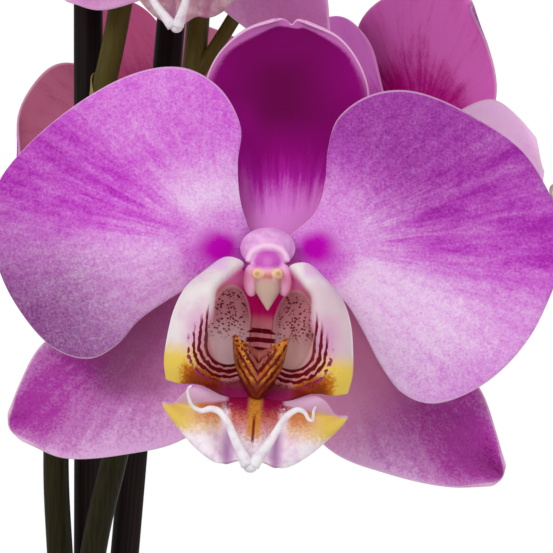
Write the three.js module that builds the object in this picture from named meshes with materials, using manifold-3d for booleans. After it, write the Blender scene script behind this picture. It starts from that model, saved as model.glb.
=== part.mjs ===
// A moth orchid in a plain glazed pot: two flower spikes tied to two dark stakes, seven open blooms,
// six buds, six leathery leaves and three aerial roots in coarse bark. Millimetres, +Z up, the blooms
// face -Y, and the origin is the middle of the pot's flat underside.
import * as THREE from "three";
import { mergeVertices } from "three/addons/utils/BufferGeometryUtils.js";
import Module from "manifold-3d";

const wasm = await Module();
wasm.setup();

// Driving dimensions
const GAP = 0.3; // between pieces that touch
const POT = { height: 125, rimRadius: 68, footRadius: 48, wall: 4.5, floor: 6, sides: 24 };
const BARK = { top: 104, chips: 24, chipSize: [21, 14, 9], spread: 45 };
const CROWN = { at: [0, 30], radius: 10, bottom: 99, top: 155 };
const STAKE = { radius: 3, bottom: 24, top: 548, sides: 10 };
const SPIKE = { footRadius: 2.95, tipRadius: 1.5, sides: 8 };
const PEDICEL = { radius: 1.5, ovaryRadius: 2.3, sides: 5 };
const TEPAL = { thickness: 1.1, margin: 0.7 };
const LIP = { thickness: 1.1, roll: -4.5 };
const HUB = { radius: 2.3, rim: 4.8, back: -6 }; // the receptacle, in the middle of a bloom

const COLOUR = {
  glaze: 0xf1efe9, bark: 0x5a3a24, leaf: 0x2f5a23, crown: 0x5f7a3a, root: 0x9aa58a, stem: 0x3d3a18,
  stake: 0x231a18, clip: 0x6f8f5a, tepal: 0xb75fbe, lip: 0xe6d9de, column: 0xe9c9e4, bud: 0xa7879a,
};
const material = (colour, roughness = 0.55) =>
  new THREE.MeshStandardMaterial({ color: colour, roughness, metalness: 0 });

// Solids and geometry

const vector = (p) => new THREE.Vector3(...p);
const mix = THREE.MathUtils.lerp;
const radians = THREE.MathUtils.degToRad;

// A closed geometry as a solid that can be joined and cut.
function solid(geometry) {
  const bare = geometry.clone();
  bare.deleteAttribute("normal");
  bare.deleteAttribute("uv");
  const merged = mergeVertices(bare, 1e-4);
  return new wasm.Manifold(
    new wasm.Mesh({
      numProp: 3,
      vertProperties: merged.attributes.position.array,
      triVerts: new Uint32Array(merged.index.array),
    }),
  );
}

function geometryOf(made) {
  const mesh = made.getMesh();
  return new THREE.BufferGeometry()
    .setAttribute("position", new THREE.BufferAttribute(mesh.vertProperties, 3))
    .setIndex(new THREE.BufferAttribute(mesh.triVerts, 1));
}

const joined = (solids) => solids.reduce((all, one) => all.add(one));

// Moves every vertex of a geometry by a rule.
function reshape(geometry, rule) {
  const place = geometry.attributes.position;
  const point = new THREE.Vector3();
  for (let i = 0; i < place.count; i++) {
    rule(point.fromBufferAttribute(place, i));
    place.setXYZ(i, point.x, point.y, point.z);
  }
  return geometry;
}

// A blade: a surface(u, v) given body on both sides of itself, with the same triangles on both faces.
function blade(surface, columns, rows, thickness) {
  const points = [];
  const step = 0.01;
  const faces = [];
  const across = columns + 1;
  for (const side of [1, -1]) {
    for (let j = 0; j <= rows; j++) {
      for (let i = 0; i <= columns; i++) {
        const [u, v] = [i / columns, j / rows];
        const du = surface(Math.min(u + step, 1), v).sub(surface(Math.max(u - step, 0), v));
        const dv = surface(u, Math.min(v + step, 1)).sub(surface(u, Math.max(v - step, 0)));
        const normal = du.cross(dv).normalize();
        points.push(surface(u, v).addScaledVector(normal, (side * thickness(u, v)) / 2));
      }
    }
  }
  const back = across * (rows + 1);
  const quad = (a, b, c, d) => faces.push(a, b, c, a, c, d);
  for (let j = 0; j < rows; j++) {
    for (let i = 0; i < columns; i++) {
      const [a, b, c, d] = [j * across + i, j * across + i + 1, (j + 1) * across + i + 1, (j + 1) * across + i];
      quad(a, b, c, d);
      faces.push(back + a, back + c, back + b, back + a, back + d, back + c);
    }
  }
  const rim = [];
  for (let i = 0; i < columns; i++) rim.push(i);
  for (let j = 0; j < rows; j++) rim.push(j * across + columns);
  for (let i = columns; i > 0; i--) rim.push(rows * across + i);
  for (let j = rows; j > 0; j--) rim.push(j * across);
  rim.forEach((a, n) => {
    const b = rim[(n + 1) % rim.length];
    quad(back + a, back + b, b, a);
  });
  const places = new Float32Array(points.flatMap((p) => p.toArray()));
  return new THREE.BufferGeometry()
    .setAttribute("position", new THREE.BufferAttribute(places, 3))
    .setIndex(faces);
}

// A round stem along a curve, with its own radius at each share of the length.
function stem(curve, radius, sides, segments) {
  const frames = curve.computeFrenetFrames(segments, false);
  const rod = new THREE.CylinderGeometry(1, 1, 1, sides, segments);
  return reshape(rod, (p) => {
    const ring = Math.round((p.y + 0.5) * segments);
    const share = ring / segments;
    const spread = radius(share);
    const [side, other] = [frames.normals[ring], frames.binormals[ring]];
    const [x, z] = [p.x * spread, p.z * spread];
    p.copy(curve.getPointAt(share)).addScaledVector(side, z).addScaledVector(other, x);
  });
}

const curveThrough = (points) => new THREE.CatmullRomCurve3(points.map(vector), false, "catmullrom");

// A smooth surface through a net of points: rows of points, u along a row, v from row to row.
function net(rows) {
  const curves = rows.map(curveThrough);
  return (u, v) => {
    const column = new THREE.CatmullRomCurve3(curves.map((c) => c.getPoint(u)), false, "catmullrom");
    return column.getPoint(v);
  };
}

// The left half of a net, from its margin to its middle, and the same half mirrored.
const bothHalves = (rows) =>
  rows.map((row) => [...row, ...row.slice(0, -1).reverse().map(([x, y, z]) => [-x, y, z])]);

// A seeded run of numbers from 0 to 1.
function dice(seed) {
  let state = seed;
  return () => {
    state = (state * 1664525 + 1013904223) % 4294967296;
    return state / 4294967296;
  };
}

// The bloom, in its own frame: x to the right and y up as one looks at it, z out of its face

// Each tepal lies between two edges that run from its claw to its tip. relief(t, s) is its height,
// with t from claw to tip and s from one edge to the other.
const TEPALS = {
  dorsal_sepal: {
    edges: [
      [[3.2, 2.4], [9.8, 7.6], [13.4, 14.4], [16.6, 22.2], [18.9, 28.1], [17.4, 34.2], [13.3, 39.6], [6.8, 42.6]],
      [[-3.2, 2.4], [-6.4, 8.8], [-8.6, 16.4], [-10.7, 24], [-11.8, 30.5], [-9.3, 36.6], [-4.3, 41], [1.3, 42.9]],
    ],
    relief: (t, s) => -3 - 1.5 * t + 2.4 * t * t * (2 * s - 1) ** 2,
  },
  petal_left: {
    edges: [
      [[-3.3, 2.6], [-5.2, 9.3], [-5.6, 16.7], [-4.8, 23.7], [-8.5, 30.7], [-16.3, 33.7], [-26.5, 31.8],
        [-38.5, 24.4], [-48.1, 14.8], [-51.4, 6.5]],
      [[-3.3, -2.6], [-8, -4.7], [-13.5, -6.6], [-18.1, -9.1], [-23.7, -13], [-27.8, -17.6], [-33.3, -20.2],
        [-40.3, -17.6], [-46.8, -9.3], [-51, 0.9]],
    ],
    relief: (t, s) => -0.9 + 5.2 * Math.sin(2.2 * Math.sqrt(t)) - 2.2 * t * (2 * s - 1) ** 2 + 0.7 * t * Math.sin(9 * s + 1),
  },
  petal_right: {
    edges: [
      [[3.3, -2.6], [9.4, -5.9], [14.2, -9.6], [17.4, -14.8], [20.4, -20.7], [24.8, -26.5], [31.5, -28.3],
        [40.7, -24.1], [48.5, -15.7], [53.6, -3.7]],
      [[3.7, 2.2], [8.9, 7], [10.7, 13], [11.1, 18.5], [13, 24.4], [19.2, 28.7], [27.2, 29.4],
        [37.4, 26.3], [47.5, 18.5], [53.8, 6.3]],
    ],
    relief: (t, s) => -0.9 + 5.2 * Math.sin(2.2 * Math.sqrt(t)) - 2.2 * t * (2 * s - 1) ** 2 + 0.7 * t * Math.sin(8 * s + 2),
  },
  lateral_sepal_left: {
    edges: [
      [[-3.6, -0.4], [-11.7, -3.6], [-22.8, -8.6], [-34.8, -13.3], [-42.2, -17.6], [-46.4, -25], [-48.3, -30.5]],
      [[-1.2, -4.8], [-2, -14.8], [-5.4, -26.6], [-15.6, -35.2], [-26.5, -37.9], [-37.6, -37.9], [-45.5, -34.2]],
    ],
    relief: (t, s) => -3 - 2.5 * t + 1.6 * t * (2 * s - 1) ** 2,
  },
  lateral_sepal_right: {
    edges: [
      [[1.2, -4.8], [1.4, -14.8], [3, -26.4], [11.4, -37.2], [22.6, -41.8], [33.7, -44.2], [42, -43.7]],
      [[3.6, -0.6], [11.5, -3.9], [22.2, -9.8], [32.4, -18], [39.4, -25.5], [42.6, -34], [44.2, -40.3]],
    ],
    relief: (t, s) => -3 - 2.5 * t + 1.6 * t * (2 * s - 1) ** 2,
  },
};

function tepal({ edges, relief }, columns, rows) {
  const [first, second] = edges.map((edge) => curveThrough(edge.map(([x, y]) => [x, y, 0])));
  const surface = (s, t) => {
    const point = first.getPoint(t).lerp(second.getPoint(t), s);
    point.z = relief(t, s);
    return point;
  };
  return blade(surface, columns, rows, (s, t) => {
    const inside = Math.min(4 * s * (1 - s), 1) * Math.min(3 * (1 - t), 1);
    return mix(TEPAL.margin, TEPAL.thickness, inside);
  });
}

// The lip's cup: two side lobes that rise either side of the throat. Each row runs from a lobe's flared
// margin over its crease and floor to the middle, and the rows go from the sinus up to the column.
const CUP = [
  [[-15.8, -26, 13], [-10.8, -25.8, 10], [-7.6, -27.2, 8.5], [-5.2, -28.4, 8], [0, -29, 8.6]],
  [[-17.2, -22, 15.5], [-11, -21.4, 9.5], [-7, -23.4, 5], [-4, -25.5, 6], [0, -25.5, 6.5]],
  [[-16.9, -17, 16.5], [-10.6, -16.6, 10.5], [-7.6, -18.2, 2], [-2.6, -20.5, 2.6], [0, -20.5, 2.2]],
  [[-15.2, -12, 16], [-9.4, -11.8, 11.5], [-9.2, -13.4, 1.5], [-2.4, -14.5, 1.2], [0, -14.5, 0.4]],
  [[-11.6, -7.4, 14], [-6.8, -7, 12], [-8.4, -8.8, 3], [-2.4, -9.4, 0.8], [0, -9.4, 0.2]],
  [[-8.2, -3, 11.2], [-5, -2.8, 11], [-6.6, -5.6, 5.5], [-2.6, -6.4, 1.8], [0, -6.2, 1.2]],
];
// The middle lobe, from its root in the cup to its front margin, each row from wing tip to middle.
const MIDDLE_LOBE = [
  [[-5.4, -28.2, 8], [-4.4, -27.9, 8], [-3.3, -27.6, 8], [-2.2, -27.4, 8], [-1.1, -27.3, 8.1], [0, -27.2, 8.1]],
  [[-10.8, -29, 11], [-9.6, -31.3, 13.5], [-7.6, -33.6, 16], [-5, -34.6, 17.8], [-2.6, -33.8, 16.6], [0, -34, 17.5]],
  [[-17, -29.3, 13], [-13.8, -32.8, 16], [-9.2, -37.4, 20.5], [-5.4, -39.6, 24.5], [-2.4, -38.4, 23], [0, -39.7, 27]],
];
// The callus, a raised crest with two horns, from its point up to the horns.
const CALLUS = [
  [[-1.6, -28, 9], [-0.8, -28.2, 9.5], [0, -28.3, 9.6]],
  [[-4, -25.2, 8.2], [-2.2, -25, 10.6], [0, -25, 10.9]],
  [[-5.1, -21.5, 7], [-3.4, -21.3, 11.2], [0, -21.5, 9.2]],
  [[-4.9, -18, 8], [-4.5, -16.4, 12], [0, -19.6, 7]],
];
// The two tendrils of the lip's tip, which run back over it and curl.
const TENDRILS = [
  [[-0.5, -39.3, 27], [-3, -34.4, 26.6], [-5.3, -30.8, 26], [-7.2, -29.3, 25.4], [-9.6, -31, 24.6],
    [-11.4, -30, 25], [-12.3, -27.8, 26], [-12.4, -26.2, 26.6], [-11.2, -27, 27.2]],
  [[0.5, -39.3, 27], [3.6, -34.4, 26.6], [5.6, -30.8, 26], [7.4, -29, 25.4], [9.2, -29.2, 25],
    [10.2, -31, 24.8], [11, -30.9, 25.4], [11.2, -28.6, 26.2], [11.7, -27.3, 26.8]],
];

function lip(detail) {
  const [cupSides, cupRows, lobeSides, lobeRows, crestSides, crestRows, curls, round] = detail;
  const even = (thickness) => () => thickness;
  const pieces = [
    blade(net(bothHalves(CUP)), cupSides, cupRows, even(LIP.thickness)),
    blade(net(bothHalves(MIDDLE_LOBE)), lobeSides, lobeRows, even(LIP.thickness)),
    blade(net(bothHalves(CALLUS)), crestSides, crestRows, even(1.8)),
    ...TENDRILS.map((path) => stem(curveThrough(path), (share) => mix(0.95, 0.32, share), round, curls)),
  ];
  return joined(pieces.map(solid)).rotate([0, 0, LIP.roll]);
}

// The column: a hood, the anther cap with its two pollen lumps, side wings and a beak.
function column(detail, full) {
  const ball = (at, size) =>
    new THREE.SphereGeometry(1, detail, Math.max(detail - 2, 4)).scale(...size).translate(...at);
  const beak = new THREE.ConeGeometry(1.9, 5.6, detail).rotateX(Math.PI).translate(0, -8.2, 9.6);
  const hub = new THREE.CylinderGeometry(HUB.radius, HUB.radius, 4 - HUB.back, detail);
  hub.rotateX(Math.PI / 2).translate(0, 0, (4 + HUB.back) / 2);
  const pieces = [
    ball([0, 0.4, 5.2], [4.6, 3.6, 4.6]),
    ball([0, -2.6, 8.6], [3.3, 3.6, 3.6]),
    beak,
    hub,
  ];
  if (full) {
    for (const side of [-1, 1]) {
      pieces.push(ball([2.3 * side, -6, 8.4], [1.5, 2.2, 1.6]));
      pieces.push(ball([1.7 * side, -4.6, 11.6], [0.95, 1, 0.9]));
    }
  }
  return joined(pieces.map(solid));
}

// The blooms: where each one's middle is, which way it faces (turn: degrees from -Y towards +X,
// nod: degrees down, roll: degrees), its size, the spike it grows on and at what height. swing is
// how far its tall sepal and its left and right lower sepals stand from the usual place, in degrees.
const BLOOMS = [
  { at: [32.4, -69, 434.9], turn: 0, nod: 0, roll: 0, size: 1, spike: 2, height: 441, swing: [0, 0, 0] },
  { at: [17.5, -56.7, 515.6], turn: -25, nod: 24, roll: 6.5, size: 0.88, spike: 1, height: 492, swing: [0, 0, 33] },
  { at: [61.1, 9.1, 453.9], turn: 126, nod: -15, roll: -45, size: 0.84, spike: 2, height: 452, swing: [-26, -10, 0] },
  { at: [10.3, 53.2, 464.4], turn: 217, nod: 25, roll: -18, size: 0.82, spike: 1, height: 467, swing: [0, 0, 0] },
  { at: [80, -24, 552], turn: 34, nod: 4, roll: -4, size: 0.9, spike: 2, height: 470, swing: [0, 0, 6] },
  { at: [-52, -52, 568], turn: -30, nod: 6, roll: 6, size: 0.86, spike: 1, height: 556, swing: [0, 0, -4] },
  { at: [110, -86, 574], turn: 20, nod: 10, roll: -8, size: 0.82, spike: 2, height: 598, swing: [0, 0, 3] },
];

// The two spikes, from the crown to the tip, and the buds at each tip by their share of its length.
const SPIKES = [
  {
    path: [[7.3, 20.9, 121], [10, 8, 141], [8, -10, 178], [2.5, -16.5, 250], [-2, -18.5, 305],
      [-8, -19, 345], [-10.4, -19, 376], [-11, -19, 396], [-9.8, -19, 425], [-5.5, -19, 449], [-1.6, -19, 467],
      [1.8, -19, 483.4], [5, -19, 505], [4, -22, 545], [-8, -28, 585], [-32, -38, 615], [-60, -50, 628],
      [-88, -62, 624]],
    buds: [0.86, 0.93, 1],
  },
  {
    path: [[-7.6, 20.8, 120], [-15, 9, 134], [-26, -6, 160], [-23.5, -14, 195], [-14.5, -14.5, 235], [-13, -18, 285],
      [-8.5, -26, 335], [-2.8, -28, 374.5], [1.6, -28, 394], [9.6, -26, 430], [16.2, -18, 466],
      [18.4, -13.5, 490], [20.3, -12.5, 515], [26, -17, 555], [42, -27, 597], [66, -39, 621],
      [94, -51, 628], [122, -62, 620]],
    buds: [0.88, 0.945, 1],
  },
];
const BUD_SIZES = [8.2, 6.6, 4.6];

function bloomFrame({ at, turn, nod, roll, size }) {
  const frame = new THREE.Group();
  frame.position.set(...at);
  frame.rotateZ(radians(turn));
  frame.rotateX(Math.PI / 2 + radians(nod));
  frame.rotateZ(radians(roll));
  frame.scale.setScalar(size);
  frame.updateMatrixWorld(true);
  return frame;
}

// Curved stalk from a spike to the back of a bloom or bud, which it reaches along that one's axis.
function stalk(from, way, end, axis, radius, endRadius) {
  const reach = from.distanceTo(end) * 0.4;
  const curve = new THREE.CubicBezierCurve3(
    from, from.clone().addScaledVector(way, reach), end.clone().addScaledVector(axis, -reach), end,
  );
  const swell = (share) => mix(radius, endRadius, share ** 3);
  return stem(curve, swell, PEDICEL.sides, 5);
}

// The point of a spike at a height, on its way up.
function pointAtHeight(curve, height) {
  let share = 0;
  while (curve.getPointAt(share).z < height) share += 0.001;
  return curve.getPointAt(share);
}

const group = new THREE.Group();

function add(name, geometry, colour, parent = group, roughness = 0.55) {
  const mesh = new THREE.Mesh(geometry, material(colour, roughness));
  mesh.name = name;
  parent.add(mesh);
  return mesh;
}

// Pot and bark

const innerRadius = (z) =>
  mix(POT.footRadius, POT.rimRadius, z / POT.height) - POT.wall;

function pot() {
  const { height, rimRadius, footRadius, wall, floor, sides } = POT;
  const profile = [
    [0, 0], [footRadius - 2, 0], [footRadius, 2], [mix(footRadius, rimRadius, 0.9), 0.9 * height],
    [rimRadius + 1, 0.915 * height], [rimRadius + 1.6, height - 2], [rimRadius, height],
    [rimRadius - wall + 1, height], [innerRadius(height - 3), height - 3], [innerRadius(floor + 3), floor + 3],
    [innerRadius(floor) - 3, floor], [0, floor],
  ].map(([r, z]) => new THREE.Vector2(r, z));
  return new THREE.LatheGeometry(profile, sides).rotateX(Math.PI / 2);
}

// One chip of bark: a box with its corners knocked about, tumbled and half sunk.
function chip(random) {
  const box = new THREE.BoxGeometry(...BARK.chipSize.map((s) => s * (0.7 + 0.6 * random())));
  const knocks = new Map();
  reshape(box, (p) => {
    const corner = `${Math.sign(p.x)}${Math.sign(p.y)}${Math.sign(p.z)}`;
    if (!knocks.has(corner)) knocks.set(corner, [random(), random(), random()].map((r) => 0.75 + 0.4 * r));
    const [a, b, c] = knocks.get(corner);
    p.set(p.x * a, p.y * b, p.z * c);
  });
  box.rotateX((random() - 0.5) * 1.1).rotateY((random() - 0.5) * 1.1).rotateZ(random() * 6.28);
  const angle = random() * 6.28;
  const out = BARK.spread * Math.sqrt(random());
  return box.translate(out * Math.cos(angle), out * Math.sin(angle), BARK.top + 1.5 * random());
}

function bark(standing) {
  const { floor, sides } = POT;
  const loose = GAP + 0.2;
  const profile = [
    [0, floor + loose], [innerRadius(floor) - 4, floor + loose], [innerRadius(floor + 4) - loose, floor + 4],
    [innerRadius(BARK.top) - loose, BARK.top - 2], [innerRadius(BARK.top) - 4, BARK.top], [0, BARK.top],
  ].map(([r, z]) => new THREE.Vector2(r, z));
  const core = new THREE.LatheGeometry(profile, sides).rotateX(Math.PI / 2);
  const random = dice(7);
  const chips = Array.from({ length: BARK.chips }, () => solid(chip(random)));
  const whole = joined([solid(core), ...chips]).subtract(joined(standing));
  return whole.decompose().sort((a, b) => b.volume() - a.volume())[0];
}

// Crown, leaves and roots

function crown(extra = 0) {
  const { at, radius, bottom, top } = CROWN;
  const profile = [
    [0, bottom - extra], [radius - 2 + extra, bottom - extra], [radius + extra, bottom + 10],
    [radius - 1 + extra, top - 22], [radius - 4 + extra, top - 6], [2.5 + extra, top + extra], [0, top + extra],
  ].map(([r, z]) => new THREE.Vector2(r, z));
  return new THREE.LatheGeometry(profile, 12).rotateX(Math.PI / 2).translate(...at, 0);
}

// Leaves stand in two ranks. turn is the way a leaf points, degrees from +X; rise and droop are its
// slope at the root and at the tip, in degrees.
const LEAVES = [
  { turn: 172, foot: 118, rise: 30, droop: -36, length: 186, width: 74 },
  { turn: 7, foot: 119, rise: 28, droop: -32, length: 190, width: 76 },
  { turn: 181, foot: 126, rise: 50, droop: -22, length: 166, width: 70 },
  { turn: -3, foot: 127, rise: 48, droop: -20, length: 170, width: 72 },
  { turn: 165, foot: 135, rise: 66, droop: 8, length: 124, width: 58 },
  { turn: 16, foot: 138, rise: 70, droop: 26, length: 92, width: 44 },
];

function leaf({ turn, foot, rise, droop, length, width }) {
  const steps = 60;
  const start = CROWN.radius + GAP + 1.6;
  const line = [[start, foot]];
  for (let n = 0; n < steps; n++) {
    const slope = radians(mix(rise, droop, ((n + 0.5) / steps) ** 0.85));
    const [r, z] = line[n];
    line.push([r + (Math.cos(slope) * length) / steps, z + (Math.sin(slope) * length) / steps]);
  }
  const spine = new THREE.CatmullRomCurve3(line.map(([r, z]) => new THREE.Vector3(r, 0, z)));
  const halfWidth = (t) => 8 * (1 - t) ** 4 + (width / 2) * Math.max(Math.sin(Math.PI * t ** 0.85), 0) ** 0.7;
  const surface = (s, t) => {
    const reach = 0.985 * t;
    const side = 2 * s - 1;
    const point = spine.getPoint(reach);
    const slope = radians(mix(rise, droop, reach ** 0.85));
    const across = Math.max(halfWidth(reach), 1.5) * side;
    const fold = Math.abs(across) * mix(0.75, 0.16, Math.min(2 * reach, 1)) - 0.0028 * across * across;
    const wave = 1.6 * Math.sin(9 * reach + 2 * side) * side * side * reach;
    point.y = across;
    point.x -= Math.sin(slope) * (fold + wave);
    point.z += Math.cos(slope) * (fold + wave);
    return point;
  };
  const made = blade(surface, 4, 9, (s, t) => mix(2.6, 1.3, t) - 0.9 * Math.abs(2 * s - 1));
  return made.rotateZ(radians(turn)).translate(...CROWN.at, 0);
}

// Aerial roots leave the crown low down, arch over the bark and dive into it.
const ROOT_RADIUS = 2.7;
const ROOTS = [
  [[8.2, 38.2, 108], [13, 43, 112], [19, 46, 112], [24, 47, 107], [26, 47.5, 92]],
  [[-9.6, 34, 109], [-19, 38, 112], [-28, 39, 112], [-34, 39, 107], [-36, 39, 92]],
  [[9.5, 21, 110], [19, 12, 114], [29, -2, 115], [35, -12, 108], [37, -15, 92]],
];

const root = (path, extra = 0) =>
  stem(curveThrough(path), (share) => mix(ROOT_RADIUS, 2.3, share) + extra, 8, 12);

// Stakes and clips

// Where each stake stands at the bark and at its top.
const STAKES = [
  { low: [-5, -12], high: [-5, -12] },
  { low: [-28.2, -4], high: [17.4, -4] },
];

function stake({ low, high }, extra = 0) {
  const ends = [[...low, STAKE.bottom - extra], [...high, STAKE.top]];
  return stem(curveThrough(ends), () => STAKE.radius + extra, STAKE.sides, 1);
}

function stakePoint({ low, high }, z) {
  const share = (z - STAKE.bottom) / (STAKE.top - STAKE.bottom);
  return new THREE.Vector3(mix(low[0], high[0], share), mix(low[1], high[1], share), z);
}

// A clip is a band round a stake and a stem, open between them only for the two.
const CLIPS = [
  { name: "clip_1_low", stake: 0, spike: 0, z: 232 },
  { name: "clip_1_high", stake: 0, spike: 0, z: 441 },
  { name: "clip_2_low", stake: 1, spike: 1, z: 226 },
  { name: "clip_2_high", stake: 1, spike: 1, z: 512 },
];
const CLIP = { height: 6, wall: 1, loose: 0.75 };

function clip(rod, twig) {
  const between = twig.clone().sub(rod).setZ(0);
  const reach = between.length();
  const outline = (extra) => {
    const shape = new THREE.Shape();
    const r = Math.max(STAKE.radius, SPIKE.footRadius) + CLIP.loose + extra;
    shape.absarc(0, 0, r, Math.PI / 2, (3 * Math.PI) / 2, false);
    shape.absarc(reach, 0, r, -Math.PI / 2, Math.PI / 2, false);
    return shape;
  };
  const band = outline(CLIP.wall);
  band.holes.push(outline(0));
  const made = new THREE.ExtrudeGeometry(band, { depth: CLIP.height, bevelEnabled: false, curveSegments: 3 });
  return made
    .translate(0, 0, -CLIP.height / 2)
    .rotateZ(Math.atan2(between.y, between.x))
    .translate(rod.x, rod.y, rod.z);
}

// Assembly

const FINE = { tepal: [7, 9], lip: [14, 7, 12, 3, 4, 3, 9, 5], column: 8 };
const PLAIN = { tepal: [3, 4], lip: [6, 3, 6, 2, 2, 1, 3, 3], column: 6 };

add("pot", pot(), COLOUR.glaze, group, 0.15);
const standing = [
  solid(crown(GAP)),
  ...ROOTS.map((path) => solid(root(path, GAP + 0.1))),
  ...STAKES.map((place) => solid(stake(place, GAP))),
];
add("bark", geometryOf(bark(standing)), COLOUR.bark, group, 0.9);
add("crown", crown(), COLOUR.crown);
LEAVES.forEach((shape, n) => add(`leaf_${n + 1}`, leaf(shape), COLOUR.leaf, group, 0.35));
ROOTS.forEach((path, n) => add(`root_${n + 1}`, root(path), COLOUR.root, group, 0.8));
STAKES.forEach((place, n) => add(`stake_${n + 1}`, stake(place), COLOUR.stake, group, 0.5));

const curves = SPIKES.map(({ path }) => curveThrough(path));
SPIKES.forEach(({ buds }, n) => {
  const curve = curves[n];
  const radius = (share) => mix(SPIKE.footRadius, SPIKE.tipRadius, share ** 2);
  const pieces = [stem(curve, radius, SPIKE.sides, 30)];
  for (const bloom of BLOOMS.filter((b) => b.spike === n + 1)) {
    const frame = bloomFrame(bloom);
    const axis = new THREE.Vector3(0, 0, 1).transformDirection(frame.matrixWorld);
    const end = new THREE.Vector3(0, 0, HUB.back - GAP).applyMatrix4(frame.matrixWorld);
    const from = pointAtHeight(curve, bloom.height);
    const way = end.clone().sub(from).normalize();
    pieces.push(stalk(from, way, end, axis, PEDICEL.radius, PEDICEL.ovaryRadius * bloom.size));
  }
  buds.forEach((share, k) => {
    const size = BUD_SIZES[k];
    const from = curve.getPointAt(Math.min(share, 0.998));
    const along = curve.getTangentAt(Math.min(share, 0.998));
    const side = k % 2 === 0 ? 0.5 : -0.5;
    const way = along.clone().multiplyScalar(0.7).add(new THREE.Vector3(0, -0.7, side)).normalize();
    const axis = way.clone().add(new THREE.Vector3(0, -0.3, -0.6)).normalize();
    const end = from.clone().addScaledVector(way, 9 + size).addScaledVector(axis, 3);
    pieces.push(stalk(from, way, end, axis, 1.1, 1.3));
    const bud = new THREE.SphereGeometry(1, 8, 5).scale(0.82 * size, 0.82 * size, 1.15 * size);
    const holder = new THREE.Group();
    holder.position.copy(end).addScaledVector(axis, 1.15 * size + GAP);
    holder.quaternion.setFromUnitVectors(new THREE.Vector3(0, 0, 1), axis);
    group.add(holder);
    add(`bud_${n + 1}_${k + 1}`, bud, COLOUR.bud, holder, 0.5);
  });
  add(`spike_${n + 1}`, geometryOf(joined(pieces.map(solid))), COLOUR.stem);
});

for (const { name, stake: rod, spike, z } of CLIPS)
  add(name, clip(stakePoint(STAKES[rod], z), pointAtHeight(curves[spike], z)), COLOUR.clip, group, 0.4);

BLOOMS.forEach((bloom, n) => {
  const frame = bloomFrame(bloom);
  group.add(frame);
  const detail = n === 0 ? FINE : PLAIN;
  const label = `bloom_${n + 1}`;
  const tepals = Object.entries(TEPALS).map(([name, shape]) => [name, tepal(shape, ...detail.tepal)]);
  [0, 3, 4].forEach((place, k) => tepals[place][1].rotateZ(-radians(bloom.swing[k])));
  if (n === 0) {
    for (const [name, shape] of tepals) add(`${label}_${name}`, shape, COLOUR.tepal, frame);
  } else {
    const hub = new THREE.CylinderGeometry(HUB.rim, HUB.rim - 1, 5.5, 6).rotateX(Math.PI / 2).translate(0, 0, -2.7);
    const core = solid(new THREE.CylinderGeometry(HUB.radius + GAP, HUB.radius + GAP, 20, 8).rotateX(Math.PI / 2));
    const whole = joined([solid(hub), ...tepals.map(([, shape]) => solid(shape))]).subtract(core);
    add(`${label}_tepals`, geometryOf(whole), COLOUR.tepal, frame);
  }
  add(`${label}_lip`, geometryOf(lip(detail.lip)), COLOUR.lip, frame);
  add(`${label}_column`, geometryOf(column(detail.column, n === 0)), COLOUR.column, frame);
});

export default group;
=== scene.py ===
import math
import random
import bpy
import numpy as np
from mathutils import Matrix, Vector


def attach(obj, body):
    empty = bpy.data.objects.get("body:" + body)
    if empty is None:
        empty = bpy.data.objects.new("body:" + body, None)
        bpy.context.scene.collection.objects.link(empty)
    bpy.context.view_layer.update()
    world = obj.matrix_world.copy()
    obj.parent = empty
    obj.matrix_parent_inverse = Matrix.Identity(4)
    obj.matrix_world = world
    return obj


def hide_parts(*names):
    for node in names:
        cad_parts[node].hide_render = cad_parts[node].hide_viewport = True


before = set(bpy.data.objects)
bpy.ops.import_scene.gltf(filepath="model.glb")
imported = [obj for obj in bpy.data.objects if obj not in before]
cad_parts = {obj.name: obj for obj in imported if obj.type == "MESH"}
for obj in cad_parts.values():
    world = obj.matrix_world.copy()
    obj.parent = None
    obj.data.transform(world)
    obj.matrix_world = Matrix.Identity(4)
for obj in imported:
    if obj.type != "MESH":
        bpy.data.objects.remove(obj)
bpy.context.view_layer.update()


# Pot. Earthenware, thrown round with a thick rolled rim and a shallow foot, and dipped in a plain
# white glaze that is a little uneven and faintly speckled. It stands on its flat underside.

def laid(name, columns, rows, place, closed=False):
    """A grid of quads laid on place(u, v), in mm, for arrays of u and v from 0 to 1."""
    bpy.ops.object.select_all(action="DESELECT")
    bpy.ops.mesh.primitive_grid_add(x_subdivisions=columns, y_subdivisions=rows, size=1)
    piece = bpy.context.active_object
    piece.name = piece.data.name = name
    u, v = spots(piece)[:, 0] / 1000 + 0.5, spots(piece)[:, 1] / 1000 + 0.5
    put(piece, np.stack(np.broadcast_arrays(*place(u, v)), axis=1))
    noted(piece, "grid", u, v, u * 0)
    if closed:
        bpy.ops.object.mode_set(mode="EDIT")
        bpy.ops.mesh.select_all(action="SELECT")
        bpy.ops.mesh.remove_doubles(threshold=2e-5)
        bpy.ops.mesh.normals_make_consistent(inside=False)
        bpy.ops.object.mode_set(mode="OBJECT")
    bpy.ops.object.shade_smooth()
    return piece


def spots(piece):
    """Where the vertices are, in mm."""
    flat = np.empty(len(piece.data.vertices) * 3)
    piece.data.vertices.foreach_get("co", flat)
    return flat.reshape(-1, 3) * 1000


def put(piece, places):
    """Moves the vertices to places in mm."""
    piece.data.vertices.foreach_set("co", (places / 1000).ravel())
    piece.data.update()


def noted(piece, name, x, y, z):
    """Writes three numbers on every vertex, for the materials to read."""
    layer = piece.data.attributes.get(name) or piece.data.attributes.new(name, "FLOAT_VECTOR", "POINT")
    values = np.stack(np.broadcast_arrays(x, y, z), axis=1)
    layer.data.foreach_set("vector", values.astype(np.float32).ravel())


def noted_before(piece, name):
    """The numbers written under a name, one row for each vertex."""
    flat = np.empty(len(piece.data.vertices) * 3, np.float32)
    piece.data.attributes[name].data.foreach_get("vector", flat)
    return flat.reshape(-1, 3)


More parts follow.
